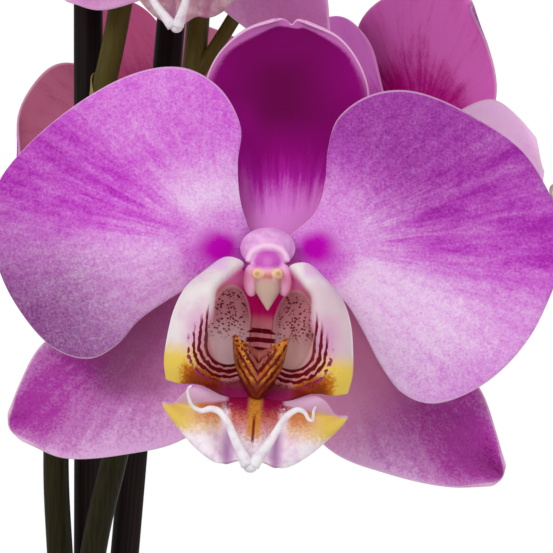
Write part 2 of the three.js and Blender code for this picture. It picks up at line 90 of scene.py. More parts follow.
def finished(piece, kind, **settings):
    """Adds a modifier and applies it."""
    bpy.ops.object.select_all(action="DESELECT")
    piece.select_set(True)
    bpy.context.view_layer.objects.active = piece
    modifier = piece.modifiers.new(kind.title(), kind)
    for key, value in settings.items():
        setattr(modifier, key, value)
    bpy.ops.object.modifier_apply(modifier=modifier.name)


def one_piece(name, pieces):
    """Joins pieces into one, under a new name."""
    bpy.ops.object.select_all(action="DESELECT")
    for piece in pieces:
        piece.select_set(True)
    bpy.context.view_layer.objects.active = pieces[0]
    bpy.ops.object.join()
    joined = bpy.context.active_object
    joined.name = joined.data.name = name
    return joined


def settle(piece, material, slot, *nodes):
    """Gives a piece its material and its place in the frame."""
    if material:
        piece.data.materials.clear()
        piece.data.materials.append(material)
    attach(piece, "root")
    if nodes:
        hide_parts(*nodes)
    return piece


def through(points, share):
    """Places on the smooth line through some points, for an array of shares from 0 to 1. Each point
    may also be a whole row of places, one for each share."""
    points = np.array(points, float)
    ends = np.concatenate([[2 * points[0] - points[1]], points, [2 * points[-1] - points[-2]]])
    where = np.clip(share, 0, 1) * (len(points) - 1)
    first = np.minimum(where.astype(int), len(points) - 2)
    w = (where - first)[:, None]
    if points.ndim == 3:
        a, b, c, d = (ends[first + k, np.arange(len(first))] for k in range(4))
    else:
        a, b, c, d = (ends[first + k] for k in range(4))
    return 0.5 * (2 * b + (c - a) * w + (2 * a - 5 * b + 4 * c - d) * w**2 + (3 * b - a - 3 * c + d) * w**3)


def turned(profile):
    """A round wall: place(u, v) for a profile of (radius, height) points, with u going round."""
    def place(u, v):
        at = through([(r, 0, z) for r, z in profile], v)
        angle = 2 * math.pi * u
        return at[:, 0] * np.cos(angle), at[:, 0] * np.sin(angle), at[:, 2]
    return place


class Value:
    """One number or colour of a material, with the usual arithmetic."""

    def __init__(self, paint, socket):
        self.paint, self.socket = paint, socket

    def sum(self, operation, *others):
        return self.paint.node("ShaderNodeMath", {"operation": operation}, self, *others)

    def __add__(self, other):
        return self.sum("ADD", other)

    def __radd__(self, other):
        return self.sum("ADD", other)

    def __mul__(self, other):
        return self.sum("MULTIPLY", other)

    def __rmul__(self, other):
        return self.sum("MULTIPLY", other)

    def __sub__(self, other):
        return self.sum("SUBTRACT", other)

    def __rsub__(self, other):
        return self.paint.node("ShaderNodeMath", {"operation": "SUBTRACT"}, other, self)

    def __truediv__(self, other):
        return self.sum("DIVIDE", other)

    def __pow__(self, other):
        return self.sum("POWER", other)

    def over(self, low, high):
        """0 below low and 1 above high, smoothly (the other way round if low is the larger)."""
        settings = {"interpolation_type": "SMOOTHSTEP"}
        if low < high:
            return self.paint.node("ShaderNodeMapRange", settings, self, low, high, 0.0, 1.0)
        return self.paint.node("ShaderNodeMapRange", settings, self, high, low, 1.0, 0.0)

    def near(self, middle, width):
        """1 at the middle, falling to 0 a width away."""
        return ((self - middle) / width).sum("ABSOLUTE").over(1.0, 0.0)


class Paint:
    """A material being mixed."""

    def __init__(self, name, **fixed):
        self.material = bpy.data.materials.new(name)
        self.material.use_nodes = True
        self.tree = self.material.node_tree
        self.shader = self.tree.nodes["Principled BSDF"]
        for key, value in fixed.items():
            self.shader.inputs[key.replace("_", " ").title().replace("Ior", "IOR")].default_value = value

    def node(self, kind, settings, *values, out=0):
        made = self.tree.nodes.new(kind)
        for key, value in settings.items():
            setattr(made, key, value)
        for socket, value in zip([s for s in made.inputs if s.enabled], values):
            self.feed(socket, value)
        return Value(self, [s for s in made.outputs if s.enabled][out])

    def feed(self, socket, value):
        if isinstance(value, Value):
            self.tree.links.new(value.socket, socket)
        elif value is not None:
            socket.default_value = value

    def marked(self, name):
        """An attribute of the surface as x, y, z and the vector itself."""
        made = self.tree.nodes.new("ShaderNodeAttribute")
        made.attribute_name = name
        vector = Value(self, made.outputs["Vector"])
        return (*self.parts(vector), vector)

    def place(self):
        """The place on the object, in mm, as x, y, z and the vector itself."""
        where = self.node("ShaderNodeTexCoord", {}, out=3)
        vector = self.node("ShaderNodeVectorMath", {"operation": "SCALE"}, where, None)
        vector.socket.node.inputs["Scale"].default_value = 1000
        return (*self.parts(vector), vector)

    def parts(self, vector):
        first = self.node("ShaderNodeSeparateXYZ", {}, vector)
        return [Value(self, socket) for socket in first.socket.node.outputs]

    def vector(self, x, y, z=0.0):
        return self.node("ShaderNodeCombineXYZ", {}, x, y, z)

    def cloud(self, vector, scale, detail=2.0, rough=0.5):
        """Soft noise from 0 to 1."""
        return self.node("ShaderNodeTexNoise", {}, vector, scale, detail, rough)

    def cells(self, vector, scale, feature="F1", jitter=1.0):
        """The distance to the nearest of many scattered points."""
        made = self.node("ShaderNodeTexVoronoi", {"feature": feature}, vector, scale)
        made.socket.node.inputs["Randomness"].default_value = jitter
        return made

    def mix(self, first, second, factor):
        """From the first colour to the second as the factor goes from 0 to 1."""
        made = self.tree.nodes.new("ShaderNodeMix")
        made.data_type = "RGBA"
        for socket, value in zip((made.inputs[0], made.inputs[6], made.inputs[7]), (factor, first, second)):
            self.feed(socket, value)
        return Value(self, made.outputs[2])

    def done(self, colour, roughness=None, height=None, depth=0.1, strength=1.0):
        """Feeds the shader, and gives the material. height is in mm times depth."""
        self.feed(self.shader.inputs["Base Color"], colour)
        if roughness is not None:
            self.feed(self.shader.inputs["Roughness"], roughness)
        if height is not None:
            bump = self.tree.nodes.new("ShaderNodeBump")
            bump.inputs["Distance"].default_value = depth / 1000
            bump.inputs["Strength"].default_value = strength
            self.feed(bump.inputs["Height"], height)
            self.feed(self.shader.inputs["Normal"], Value(self, bump.outputs[0]))
        return self.material


def dye(red, green, blue):
    """A colour from its 0 to 255 values, as light."""
    linear = [c / 255 / 12.92 if c <= 10 else ((c / 255 + 0.055) / 1.055) ** 2.4 for c in (red, green, blue)]
    return (*linear, 1.0)


pot_profile = [
    (0, 3.2), (24, 3.1), (42, 2.6), (43.5, 0.4), (44.6, 0), (46.4, 0), (47.7, 1), (48.4, 4), (50.6, 16), (54.5, 40),
    (58.5, 66), (62.4, 92), (65.4, 110.8), (66.6, 113), (68.6, 114.6), (69.6, 117.5), (69.6, 121.2), (68.6, 124.2),
    (66.6, 125), (64.6, 124.4), (63.5, 122), (62.4, 114), (59.6, 92), (55.4, 64), (51.4, 38), (47, 13), (44, 8),
    (30, 6.2), (0, 6),
]
pot = laid("pot_glazed", 96, 168, turned(pot_profile), closed=True)
glaze = Paint("white_glaze", coat_weight=0.5, coat_roughness=0.08, specular_ior_level=0.5)
x, y, z, at = glaze.place()
speck = glaze.cells(at, 0.35).over(0.09, 0.03) * glaze.cloud(at, 0.05, 1).over(0.5, 0.6)
pooled = glaze.cloud(at, 0.03, 3, 0.6)
body = glaze.mix(dye(246, 244, 238), dye(229, 225, 214), pooled.over(0.4, 0.75))
body = glaze.mix(body, dye(205, 188, 158), z.near(0, 3) * 0.8 + z.near(124.8, 0.8) * 0.35)
body = glaze.mix(body, dye(150, 132, 108), speck * 0.6)
ripple = z.sum("MULTIPLY", 1.9).sum("SINE") * 0.25 + pooled * 1.5
settle(pot, glaze.done(body, 0.16 + pooled * 0.12, ripple, 0.25, 0.5), "pot", "pot")


# Bark. Coarse chips of fir bark, as orchids are potted in, wedged together up to a finger below the
# rim. Each chip is split wood with a fibrous grain, darker on its weathered face.

chance = random.Random(5)


def bark_mound(u, v):
    angle, out = 2 * math.pi * u, 58.6 * np.sqrt(v)
    x, y = out * np.cos(angle), out * np.sin(angle)
    z = 101.5 + 1.6 * np.sin(x * 0.31 + 1) * np.cos(y * 0.27) + 0.9 * np.sin(x * 0.9 - y * 0.7)
    return x, y, np.where(v < 0.002, 101.8, z)


def bark_side(u, v):
    angle = 2 * math.pi * u
    out = through([(0, 0, 0), (40, 0, 0), (46.6, 0, 0), (58.6, 0, 0)], v)[:, 0]
    z = through([(0, 0, 7), (0, 0, 7), (0, 0, 14), (0, 0, 101.5)], v)[:, 2]
    return out * np.cos(angle), out * np.sin(angle), z


def bark_chip(name, at, size, turn):
    """One chip: a box with knocked corners, split along its grain and slightly cupped."""
    bpy.ops.object.select_all(action="DESELECT")
    bpy.ops.mesh.primitive_cube_add(size=1)
    chip = bpy.context.active_object
    chip.name = name
    bpy.ops.object.mode_set(mode="EDIT")
    bpy.ops.mesh.subdivide(number_cuts=2)
    bpy.ops.object.mode_set(mode="OBJECT")
    cup, twist = chance.uniform(-0.25, 0.25), chance.uniform(-0.5, 0.5)
    rotation = Matrix.Rotation(turn[2], 3, "Z") @ Matrix.Rotation(turn[1], 3, "Y") @ Matrix.Rotation(turn[0], 3, "X")
    grain = []
    for vertex in chip.data.vertices:
        p = vertex.co
        p.x += 0.09 * chance.uniform(-1, 1)
        p.y += 0.12 * chance.uniform(-1, 1)
        p.z += 0.16 * chance.uniform(-1, 1) + cup * (p.y * p.y - 0.1) + twist * p.x * p.y
        grain.append((p.x * size[0], p.y * size[1] + at.x, p.z * size[2] + at.y))
        vertex.co = (rotation @ Vector((p.x * size[0], p.y * size[1], p.z * size[2])) + at) / 1000
    noted(chip, "grain", *np.array(grain).T)
    return chip


chips = []
for n in range(150):
    angle, out = chance.uniform(0, 2 * math.pi), 50.5 * math.sqrt(chance.random())
    long = chance.uniform(9, 19) * (1 - 0.25 * (out > 42))
    size = (long, long * chance.uniform(0.45, 0.75), chance.uniform(3, 6.5))
    level = 103.4 + 3.4 * (n / 150) + chance.uniform(-1.2, 1.2)
    at = Vector((out * math.cos(angle), out * math.sin(angle), level))
    turn = (chance.gauss(0, 0.35), chance.gauss(0, 0.35), chance.uniform(0, 2 * math.pi))
    standing = [(0, 30, 13), (-5, -12, 5), (-21, -4, 5)]
    if all(math.hypot(at.x - sx, at.y - sy) > reach + 0.5 * long * 0.8 for sx, sy, reach in standing):
        chips.append(bark_chip(f"chip_{n}", at, size, turn))
mound = laid("bark_mound", 96, 24, bark_mound, closed=True)
side = laid("bark_side", 64, 12, bark_side, closed=True)
for piece in (mound, side):
    noted(piece, "grain", *spots(piece).T)
bark = one_piece("bark_chips", [mound, side] + chips)
finished(bark, "BEVEL", width=0.0005, segments=2, limit_method="ANGLE", angle_limit=0.6)
bpy.ops.object.shade_smooth_by_angle(angle=0.6)
fir = Paint("fir_bark", specular_ior_level=0.25)
x, y, z, at = fir.marked("grain")
strands = fir.cloud(fir.vector(x * 0.12, y * 1.3, z * 1.3), 1.0, 5, 0.65)
patches = fir.cloud(at, 0.11, 3, 0.6)
brown = fir.mix(dye(70, 42, 27), dye(158, 104, 66), strands.over(0.35, 0.68))
brown = fir.mix(brown, dye(46, 30, 23), patches.over(0.52, 0.68) * 0.85)
brown = fir.mix(brown, dye(186, 142, 98), patches.over(0.40, 0.28) * 0.6)
settle(bark, fir.done(brown, 0.78 + strands * 0.2, strands + patches * 0.5, 0.8, 0.8), "bark", "bark")


# Crown. The short upright stem of the plant, wrapped in the dry bases of old leaves and the green
# ones of new leaves, which clasp it in turn from the left and from the right.

def crown_wall(u, v):
    radius = through([(0, 0, 0), (7.5, 0, 0), (9.6, 0, 0), (9.9, 0, 0), (9.2, 0, 0), (8.2, 0, 0), (6, 0, 0), (2.6, 0, 0),
                      (0, 0, 0)], v)[:, 0]
    height = through([(0, 0, 99), (0, 0, 99.5), (0, 0, 106), (0, 0, 114), (0, 0, 122), (0, 0, 133), (0, 0, 145),
                      (0, 0, 153.5), (0, 0, 155)], v)[:, 2]
    angle = 2 * math.pi * u
    clasp = 0.35 * np.abs(np.sin(height * 0.33 + np.where(np.cos(angle) > 0, 0, 1.57))) * np.abs(np.cos(angle))
    radius = np.maximum(radius + clasp * (radius > 1) - 0.25 * np.cos(3 * angle) * (radius > 3), 0)
    return radius * np.cos(angle), 30 + radius * np.sin(angle), height


crown = laid("crown_stem", 48, 72, crown_wall, closed=True)
sheath = Paint("leaf_sheath", specular_ior_level=0.35)
x, y, z, at = sheath.place()
lines = sheath.cloud(sheath.vector(x * 1.5, y * 1.5, z * 0.06), 1.0, 3)
green = sheath.mix(dye(96, 122, 52), dye(140, 158, 84), lines)
green = sheath.mix(green, dye(134, 104, 66), z.over(122, 106) * 0.9)
settle(crown, sheath.done(green, 0.5, lines, 0.3), "crown", "crown")


# Leaves. Six thick, leathery leaves in two ranks, the oldest lowest. Each is one blade, folded at its
# midrib near the crown, with a smooth waxy top and a duller, paler underside.

leaves = [
    (172, 118, 30, -36, 186, 74), (7, 119, 28, -32, 190, 76), (181, 126, 50, -22, 166, 70),
    (-3, 127, 48, -20, 170, 72), (165, 135, 66, 8, 124, 58), (16, 138, 70, 26, 92, 44),
]


def leaf_blade(turn, foot, rise, droop, length, width, wave):
    """The surface of a leaf, with u across and v from its root to its tip."""
    steps = 60
    share = (np.arange(steps) + 0.5) / steps
    slope = np.radians(rise + (droop - rise) * share**0.85)
    run = np.concatenate([[0], np.cumsum(np.cos(slope))]) * length / steps + 11.9
    climb = np.concatenate([[0], np.cumsum(np.sin(slope))]) * length / steps + foot
    way = math.radians(turn)

    def place(u, v):
        reach, side = 0.985 * v, 2 * u - 1
        half = 8 * (1 - reach) ** 4 + width / 2 * np.maximum(np.sin(math.pi * reach**0.85), 0) ** 0.7
        across = np.maximum(half, 1.2) * side
        lean = np.radians(rise + (droop - rise) * reach**0.85)
        fold = np.abs(across) * (0.75 + (0.16 - 0.75) * np.minimum(2 * reach, 1)) - 0.0028 * across**2
        fold = fold + 1.1 * (1 - np.exp(-(across / 1.6) ** 2)) * (1 - 0.6 * reach) - 0.9
        fold = fold + 1.6 * np.sin(9 * reach + 2 * side) * side**2 * reach + 0.5 * np.sin(wave + 14 * reach) * side**2
        out = np.interp(reach, np.linspace(0, 1, steps + 1), run) - np.sin(lean) * fold
        up = np.interp(reach, np.linspace(0, 1, steps + 1), climb) + np.cos(lean) * fold
        return (out * math.cos(way) - across * math.sin(way), 30 + out * math.sin(way) + across * math.cos(way), up)
    return place


def thickened(piece, thick, back=1, rounds=1):
    """Gives a blade its body and notes 1 in its grid's third number on the back. The faces of the
    grid look to the back where back is 1, and to the front where it is -1."""
    count, start = len(piece.data.vertices), spots(piece)
    way = np.empty(count * 3)
    piece.data.vertices.foreach_get("normal", way)
    finished(piece, "SOLIDIFY", thickness=thick / 1000, offset=0, use_even_offset=False)
    moved = spots(piece).reshape(-1, count, 3) - start
    u, v, w = noted_before(piece, "grid").T
    noted(piece, "grid", u, v, (np.sum(moved * way.reshape(1, -1, 3), axis=2).ravel() * back > 0).astype(float))
    finished(piece, "SUBSURF", levels=rounds, render_levels=rounds)


leaf_skin = Paint("leaf_skin", specular_ior_level=0.5, coat_weight=0.15, coat_roughness=0.3, subsurface_weight=0.08)
u, v, w, at = leaf_skin.marked("grid")
x, y, z, where = leaf_skin.place()
under = w.over(0.4, 0.6)
across = (u - 0.5).sum("ABSOLUTE")
ribs = leaf_skin.cloud(leaf_skin.vector(u * 70, v * 3.0, w), 1.0, 2)
mottle = leaf_skin.cloud(where, 0.12, 4, 0.6)
top = leaf_skin.mix(dye(38, 78, 26), dye(68, 112, 42), mottle.over(0.35, 0.7))
top = leaf_skin.mix(top, dye(96, 136, 62), across.over(0.035, 0.006) * 0.55 + ribs.over(0.6, 0.75) * 0.18)
top = leaf_skin.mix(top, dye(86, 44, 50), across.over(0.485, 0.499) * 0.7)
low = leaf_skin.mix(dye(92, 118, 70), dye(118, 92, 84), mottle.over(0.45, 0.75) * 0.6)
skin = leaf_skin.mix(top, low, under)
wax = leaf_skin.done(skin, 0.3 + mottle * 0.16 + under * 0.2, ribs * 0.6 + mottle, 0.35, 0.6)
for n, shape in enumerate(leaves):
    leaf = laid(f"leaf_blade_{n + 1}", 24, 46, leaf_blade(*shape, wave=n * 1.7))
    thickened(leaf, 1.9)
    settle(leaf, wax, "leaf", f"leaf_{n + 1}")


# Aerial roots. Plump, silver-grey with a corky skin, green where they grow. They leave the foot of
# the crown, arch over the bark and dive into it.

roots = [
    [(8.2, 38.2, 108), (13, 43, 112), (19, 46, 112), (24, 47, 107), (26, 47.5, 92)],
    [(-9.6, 34, 109), (-19, 38, 112), (-28, 39, 112), (-34, 39, 107), (-36, 39, 92)],
    [(9.5, 21, 110), (19, 12, 114), (29, -2, 115), (35, -12, 108), (37, -15, 92)],
]


def even(points, count=400):
    """Places at even steps along the smooth line through some points."""
    fine = through(points, np.linspace(0, 1, 1500))
    steps = np.concatenate([[0], np.cumsum(np.linalg.norm(np.diff(fine, axis=0), axis=1))])
    where = np.linspace(0, steps[-1], count)
    return np.stack([np.interp(where, steps, fine[:, k]) for k in range(3)], axis=1)


def tube(line, radius):
    """The wall of a round stem along a line, with u round it and v along it, closed at both ends."""
    count = len(line)
    ahead = np.gradient(line, axis=0)
    ahead /= np.linalg.norm(ahead, axis=1)[:, None]
    side = np.empty_like(ahead)
    start = np.cross(ahead[0], (0, 0, 1) if abs(ahead[0][2]) < 0.9 else (1, 0, 0))
    side[0] = start / np.linalg.norm(start)
    for k in range(1, count):
        turned_side = side[k - 1] - ahead[k] * side[k - 1].dot(ahead[k])
        side[k] = turned_side / np.linalg.norm(turned_side)
    other = np.cross(ahead, side)

    def place(u, v):
        k = np.round(v * (count - 1)).astype(int)
        end = np.minimum(v, 1 - v) * (count - 1)
        spread = radius(u, v) * np.where(end < 0.5, 0, 1)
        angle = 2 * math.pi * u
        return (line[k] + side[k] * (spread * np.cos(angle))[:, None] + other[k] * (spread * np.sin(angle))[:, None]).T
    return place


def rod(name, line, radius, around, along):
    """A closed round stem."""
    return laid(name, around, along, tube(even(line, along + 1), radius), closed=True)


velamen = Paint("root_skin", specular_ior_level=0.3)
x, y, z, at = velamen.place()
u, v, w, grid = velamen.marked("grid")
wrinkle = velamen.cloud(velamen.vector(u * 9, v * 60, 0.0), 1.0, 3)
silver = velamen.mix(dye(168, 176, 158), dye(196, 202, 190), wrinkle)
silver = velamen.mix(silver, dye(124, 150, 88), v.over(0.22, 0.02) * 0.6 + velamen.cloud(at, 0.3, 2).over(0.6, 0.75) * 0.4)
silver = velamen.mix(silver, dye(120, 92, 66), z.over(108, 101) * 0.6)
corky = velamen.done(silver, 0.72, wrinkle, 0.5, 0.7)
for n, line in enumerate(roots):
    swell = lambda u, v, n=n: (2.7 - 0.4 * v) * (1 + 0.045 * np.sin(v * 31 + n) + 0.03 * np.sin(2 * math.pi * u * 3 + v * 9))
    settle(rod(f"aerial_root_{n + 1}", line, swell, 20, 70), corky, "root", f"root_{n + 1}")


# Stakes. Two split canes, sanded round and stained almost black, pushed down into the bark; the near-black is partly
# the cane's own colour and partly painted shade. One is upright and the other leans across behind it.

stakes = [((-5, -12, 24), (-5, -12, 548)), ((-28.2, -4, 24), (17.4, -4, 548))]
cane = Paint("stained_and_shaded_cane", specular_ior_level=0.1)
u, v, w, grid = cane.marked("grid")
fibres = cane.cloud(cane.vector(u * 24, v * 7, 0.0), 1.0, 4, 0.6)
# Near-black cane colours: partly the stained cane, partly painted shade of canes seen against the light.
stain_and_shade = cane.mix(dye(20, 12, 12), dye(44, 30, 26), fibres.over(0.45, 0.75))
dark = cane.done(stain_and_shade, 0.42 + fibres * 0.25, fibres, 0.25, 0.7)
for n, (foot, head) in enumerate(stakes):
    line = np.linspace(foot, head, 60)
    shaded_rear_and_worn_cane = lambda u, v: 2.97 + 0.05 * np.sin(6 * math.pi * u) + 0.05 * np.sin(v * 23) - 0.5 * np.exp(-(1 - v) * 524 / 0.6)
    settle(rod(f"stake_cane_{n + 1}", line, shaded_rear_and_worn_cane, 24, 80), dark, "stake", f"stake_{n + 1}")


# Flower spikes. Two arching stems as thick as a pencil lead is long, jointed, with a papery bract at
# each joint. Every bloom and bud hangs on a short stalk of its own that swells behind the flower.

spikes = [
    [(7.3, 20.9, 121), (10, 8, 141), (8, -10, 178), (2.5, -16.5, 250), (-2, -18.5, 305), (-8, -19, 345),
     (-10.4, -19, 376), (-11, -19, 396), (-9.8, -19, 425), (-5.5, -19, 449), (-1.6, -19, 467), (1.8, -19, 483.4),
     (5, -19, 505), (4, -22, 545), (-8, -28, 585), (-32, -38, 615), (-60, -50, 628), (-88, -62, 624)],
    [(-7.6, 20.8, 120), (-15, 9, 134), (-26, -6, 160), (-23.5, -14, 195), (-14.5, -14.5, 235), (-13, -18, 285),
     (-8.5, -26, 335), (-2.8, -28, 374.5), (1.6, -28, 394), (9.6, -26, 430), (16.2, -18, 466), (18.4, -13.5, 490),
     (20.3, -12.5, 515), (26, -17, 555), (42, -27, 597), (66, -39, 621), (94, -51, 628), (122, -62, 620)],
]
# Each bloom's tone sets how its rear faces are painted, from painted shade at 0 to painted light at 1; 0.5 marks the
# front bloom and 0.6 the one above it, whose lip is painted in shade.
blooms = [
    {"at": (32.4, -69, 434.9), "turn": 0, "nod": 0, "roll": 0, "size": 1, "spike": 1, "height": 441, "tone": 0.5},
    {"at": (17.2, -56.7, 516.5), "turn": -25, "nod": 24, "roll": 6.5, "size": 0.88, "spike": 0, "height": 492, "tone": 0.6,
     "lateral_sepal_right": 33},
    {"at": (61.1, 9.1, 453.9), "turn": 126, "nod": -15, "roll": -45, "size": 0.84, "spike": 1, "height": 452, "tone": 1,
     "dorsal_sepal": -26, "lateral_sepal_left": -10, "full": {"lateral_sepal_left": (6, 0), "petal_left": (-3.2, 1)}},
    {"at": (10.3, 53.2, 464.4), "turn": 217, "nod": 25, "roll": -18, "size": 0.82, "spike": 0, "height": 467, "tone": 0},
    {"at": (80, -24, 552), "turn": 34, "nod": 4, "roll": -4, "size": 0.9, "spike": 1, "height": 470, "tone": 0.4,
     "lateral_sepal_right": 6},
    {"at": (-52, -52, 568), "turn": -30, "nod": 6, "roll": 6, "size": 0.86, "spike": 0, "height": 556, "tone": 0.7,
     "lateral_sepal_right": -4},
    {"at": (110, -86, 574), "turn": 20, "nod": 10, "roll": -8, "size": 0.82, "spike": 1, "height": 598, "tone": 0.3,
     "lateral_sepal_right": 3},
]
for bloom in blooms:
    facing = Matrix.Rotation(math.radians(bloom["turn"]), 3, "Z")
    facing = facing @ Matrix.Rotation(math.radians(90 + bloom["nod"]), 3, "X")
    facing = facing @ Matrix.Rotation(math.radians(bloom["roll"]), 3, "Z")
    bloom["facing"] = np.array(facing)


def framed(bloom, local):
    """Places in a bloom's own frame (x right, y up, z out of its face) as places on the object."""
    return local @ bloom["facing"].T * bloom["size"] + bloom["at"]


def unit(vector):
    return vector / np.linalg.norm(vector)


def bent(start, way, end, axis):
    """A smooth bend that leaves along one way and ends along another."""
    reach = 0.4 * np.linalg.norm(end - start)
    a, b, c, d = start, start + way * reach, end - axis * reach, end
    t = np.linspace(0, 1, 60)[:, None]
    return a * (1 - t) ** 3 + 3 * b * t * (1 - t) ** 2 + 3 * c * t * t * (1 - t) + d * t**3


def bract(name, line, k, stem_radius, angle, tall):
    """A papery scale clasping a stem at place k of its line."""
    ahead = unit(line[k + 1] - line[k - 1])
    side = unit(np.cross(ahead, (0.3, 1, 0.1)))
    other = np.cross(ahead, side)

    def place(u, v):
        spread = (u - 0.5) * 4.6 * (1 - v) ** 0.55 + angle
        out = (stem_radius + 0.45 + 1.1 * v**2)[:, None]
        ring = side * np.cos(spread)[:, None] + other * np.sin(spread)[:, None]
        return (line[k] + ahead * (v * tall - 0.6)[:, None] + ring * out).T
    made = laid(name, 14, 10, place)
    thickened(made, 0.35)
    return made


stem_skin = Paint("stem_skin", specular_ior_level=0.15)
x, y, z, at = stem_skin.place()
streak = stem_skin.cloud(stem_skin.vector(x * 2.2, y * 2.2, z * 0.12), 1.0, 3, 0.6)
blush = stem_skin.cloud(at, 0.035, 2)
# The stem colour is painted very dark: partly the stems' own olive and partly painted shade of stems seen against the
# light. Paler towards the top, reddish in places lower down and green near the foot.
olive = stem_skin.mix(dye(20, 17, 0), dye(42, 38, 4), streak.over(0.3, 0.75))
olive = stem_skin.mix(olive, dye(92, 82, 22), z.over(420, 480) * (0.45 + streak * 0.3))
olive = stem_skin.mix(olive, dye(58, 26, 26), blush.over(0.5, 0.7) * z.over(420, 300) * 0.4)
olive = stem_skin.mix(olive, dye(86, 112, 48), z.over(240, 150) * 0.7)
stem_material = stem_skin.done(olive, 0.45, streak, 0.2, 0.6)
paper = Paint("bract_skin", specular_ior_level=0.3)
u, v, w, grid = paper.marked("grid")
veins = paper.cloud(paper.vector(u * 26, v * 2, 0.0), 1.0, 2)
dry = paper.mix(dye(126, 120, 66), dye(160, 128, 84), veins.over(0.35, 0.7))
dry = paper.mix(dry, dye(104, 66, 48), v.over(0.6, 1.0) * 0.7)
bract_material = paper.done(dry, 0.6, veins, 0.15, 0.6)

for n, path in enumerate(spikes):
    line = even(path, 421)
    joints = [k for k in range(1, 420) if any(line[k - 1][2] < h <= line[k][2] for h in (158, 212, 268, 326))]
    along = np.arange(421)

    def thickness(u, v, joints=joints):
        ring = sum(np.exp(-((v * 420 - k) / 1.6) ** 2) for k in joints)
        return 2.95 - 1.45 * v**2 + 0.35 * ring + 0.03 * np.sin(10 * math.pi * u + v * 40)

    pieces = [rod(f"spike_stem_{n + 1}", path, thickness, 18, 420)]
    scales = [bract(f"bract_{n}_{k}", line, k, 2.9, 1.9 * i + n, 12) for i, k in enumerate(joints)]
    for bloom in [b for b in blooms if b["spike"] == n]:
        k = int(np.argmax(line[:, 2] >= bloom["height"]))
        end = framed(bloom, np.array([0, 0, -6.3]))
        bend = bent(line[k], unit(end - line[k]), end, bloom["facing"][:, 2])
        wide = 2.3 * bloom["size"]
        pedicel = lambda u, v, wide=wide: 1.5 + (wide - 1.5) * v**3 + 0.06 * np.cos(12 * math.pi * u) * v**2
        pieces.append(rod(f"pedicel_{n}_{k}", bend, pedicel, 18, 60))
        scales.append(bract(f"bract_{n}_{k}", line, k - 1, 2.0, 0.8 * k, 6))
    for i, share in enumerate([(0.86, 0.93, 1), (0.88, 0.945, 1)][n]):
        size = (8.2, 6.6, 4.6)[i]
        start = line[int(round(min(share, 0.998) * 420)) - 1]
        ahead = unit(line[min(int(share * 420), 419) + 1] - line[min(int(share * 420), 419) - 1])
        way = unit(0.7 * ahead + (0, -0.7, 0.5 if i % 2 == 0 else -0.5))
        axis = unit(way + (0, -0.3, -0.6))
        end = start + way * (9 + size) + axis * 3
        pieces.append(rod(f"bud_stalk_{n}_{i}", bent(start, way, end, axis), lambda u, v: 1.1 + 0.2 * v**3, 14, 40))

        def bud_wall(u, v, end=end, axis=axis, size=size):
            side = unit(np.cross(axis, (0.2, 1, 0.1)))
            other = np.cross(axis, side)
            angle = 2 * math.pi * u
            seam = np.minimum(np.mod(angle, 2 * math.pi / 3), 2 * math.pi / 3 - np.mod(angle, 2 * math.pi / 3))
            out = 0.82 * size * np.sin(math.pi * v) ** 0.85 * (1 - 0.05 * np.exp(-(seam / 0.12) ** 2))
            up = -1.15 * size * np.cos(math.pi * v)
            ring = side * np.cos(angle)[:, None] + other * np.sin(angle)[:, None]
            return (end + axis * (1.15 * size + 0.3) + ring * out[:, None] + axis * up[:, None]).T

        bloom_bud = laid(f"flower_bud_{n + 1}_{i + 1}", 60, 44, bud_wall, closed=True)
        bud_skin = Paint(f"bud_skin_{n + 1}_{i + 1}", specular_ior_level=0.35, subsurface_weight=0.1, subsurface_scale=0.003)
        u, v, w, grid = bud_skin.marked("grid")
        x, y, z, at = bud_skin.place()
        third = (u * 3).sum("FRACT")
        seams = (third - 0.5).sum("ABSOLUTE").over(0.46, 0.5)
        haze = bud_skin.cloud(at, 0.45, 3, 0.6)
        tint = bud_skin.mix(dye(128, 136, 74), dye(176, 120, 160), v.over(0.1, 0.75))
        tint = bud_skin.mix(tint, dye(150, 70, 130), haze.over(0.45, 0.7) * 0.5)
        tint = bud_skin.mix(tint, dye(120, 128, 66), seams * 0.6)
        settle(bloom_bud, bud_skin.done(tint, 0.42, haze, 0.2, 0.4), "bud", f"bud_{n + 1}_{i + 1}")
    for piece in pieces:
        piece.data.materials.append(stem_material)
    for piece in scales:
        piece.data.materials.append(bract_material)
    settle(one_piece(f"flower_spike_{n + 1}", pieces + scales), None, "stalk", f"spike_{n + 1}")


# Clips. Small moulded plastic bands, bent round a stake and a stem together, that hold the spikes up.

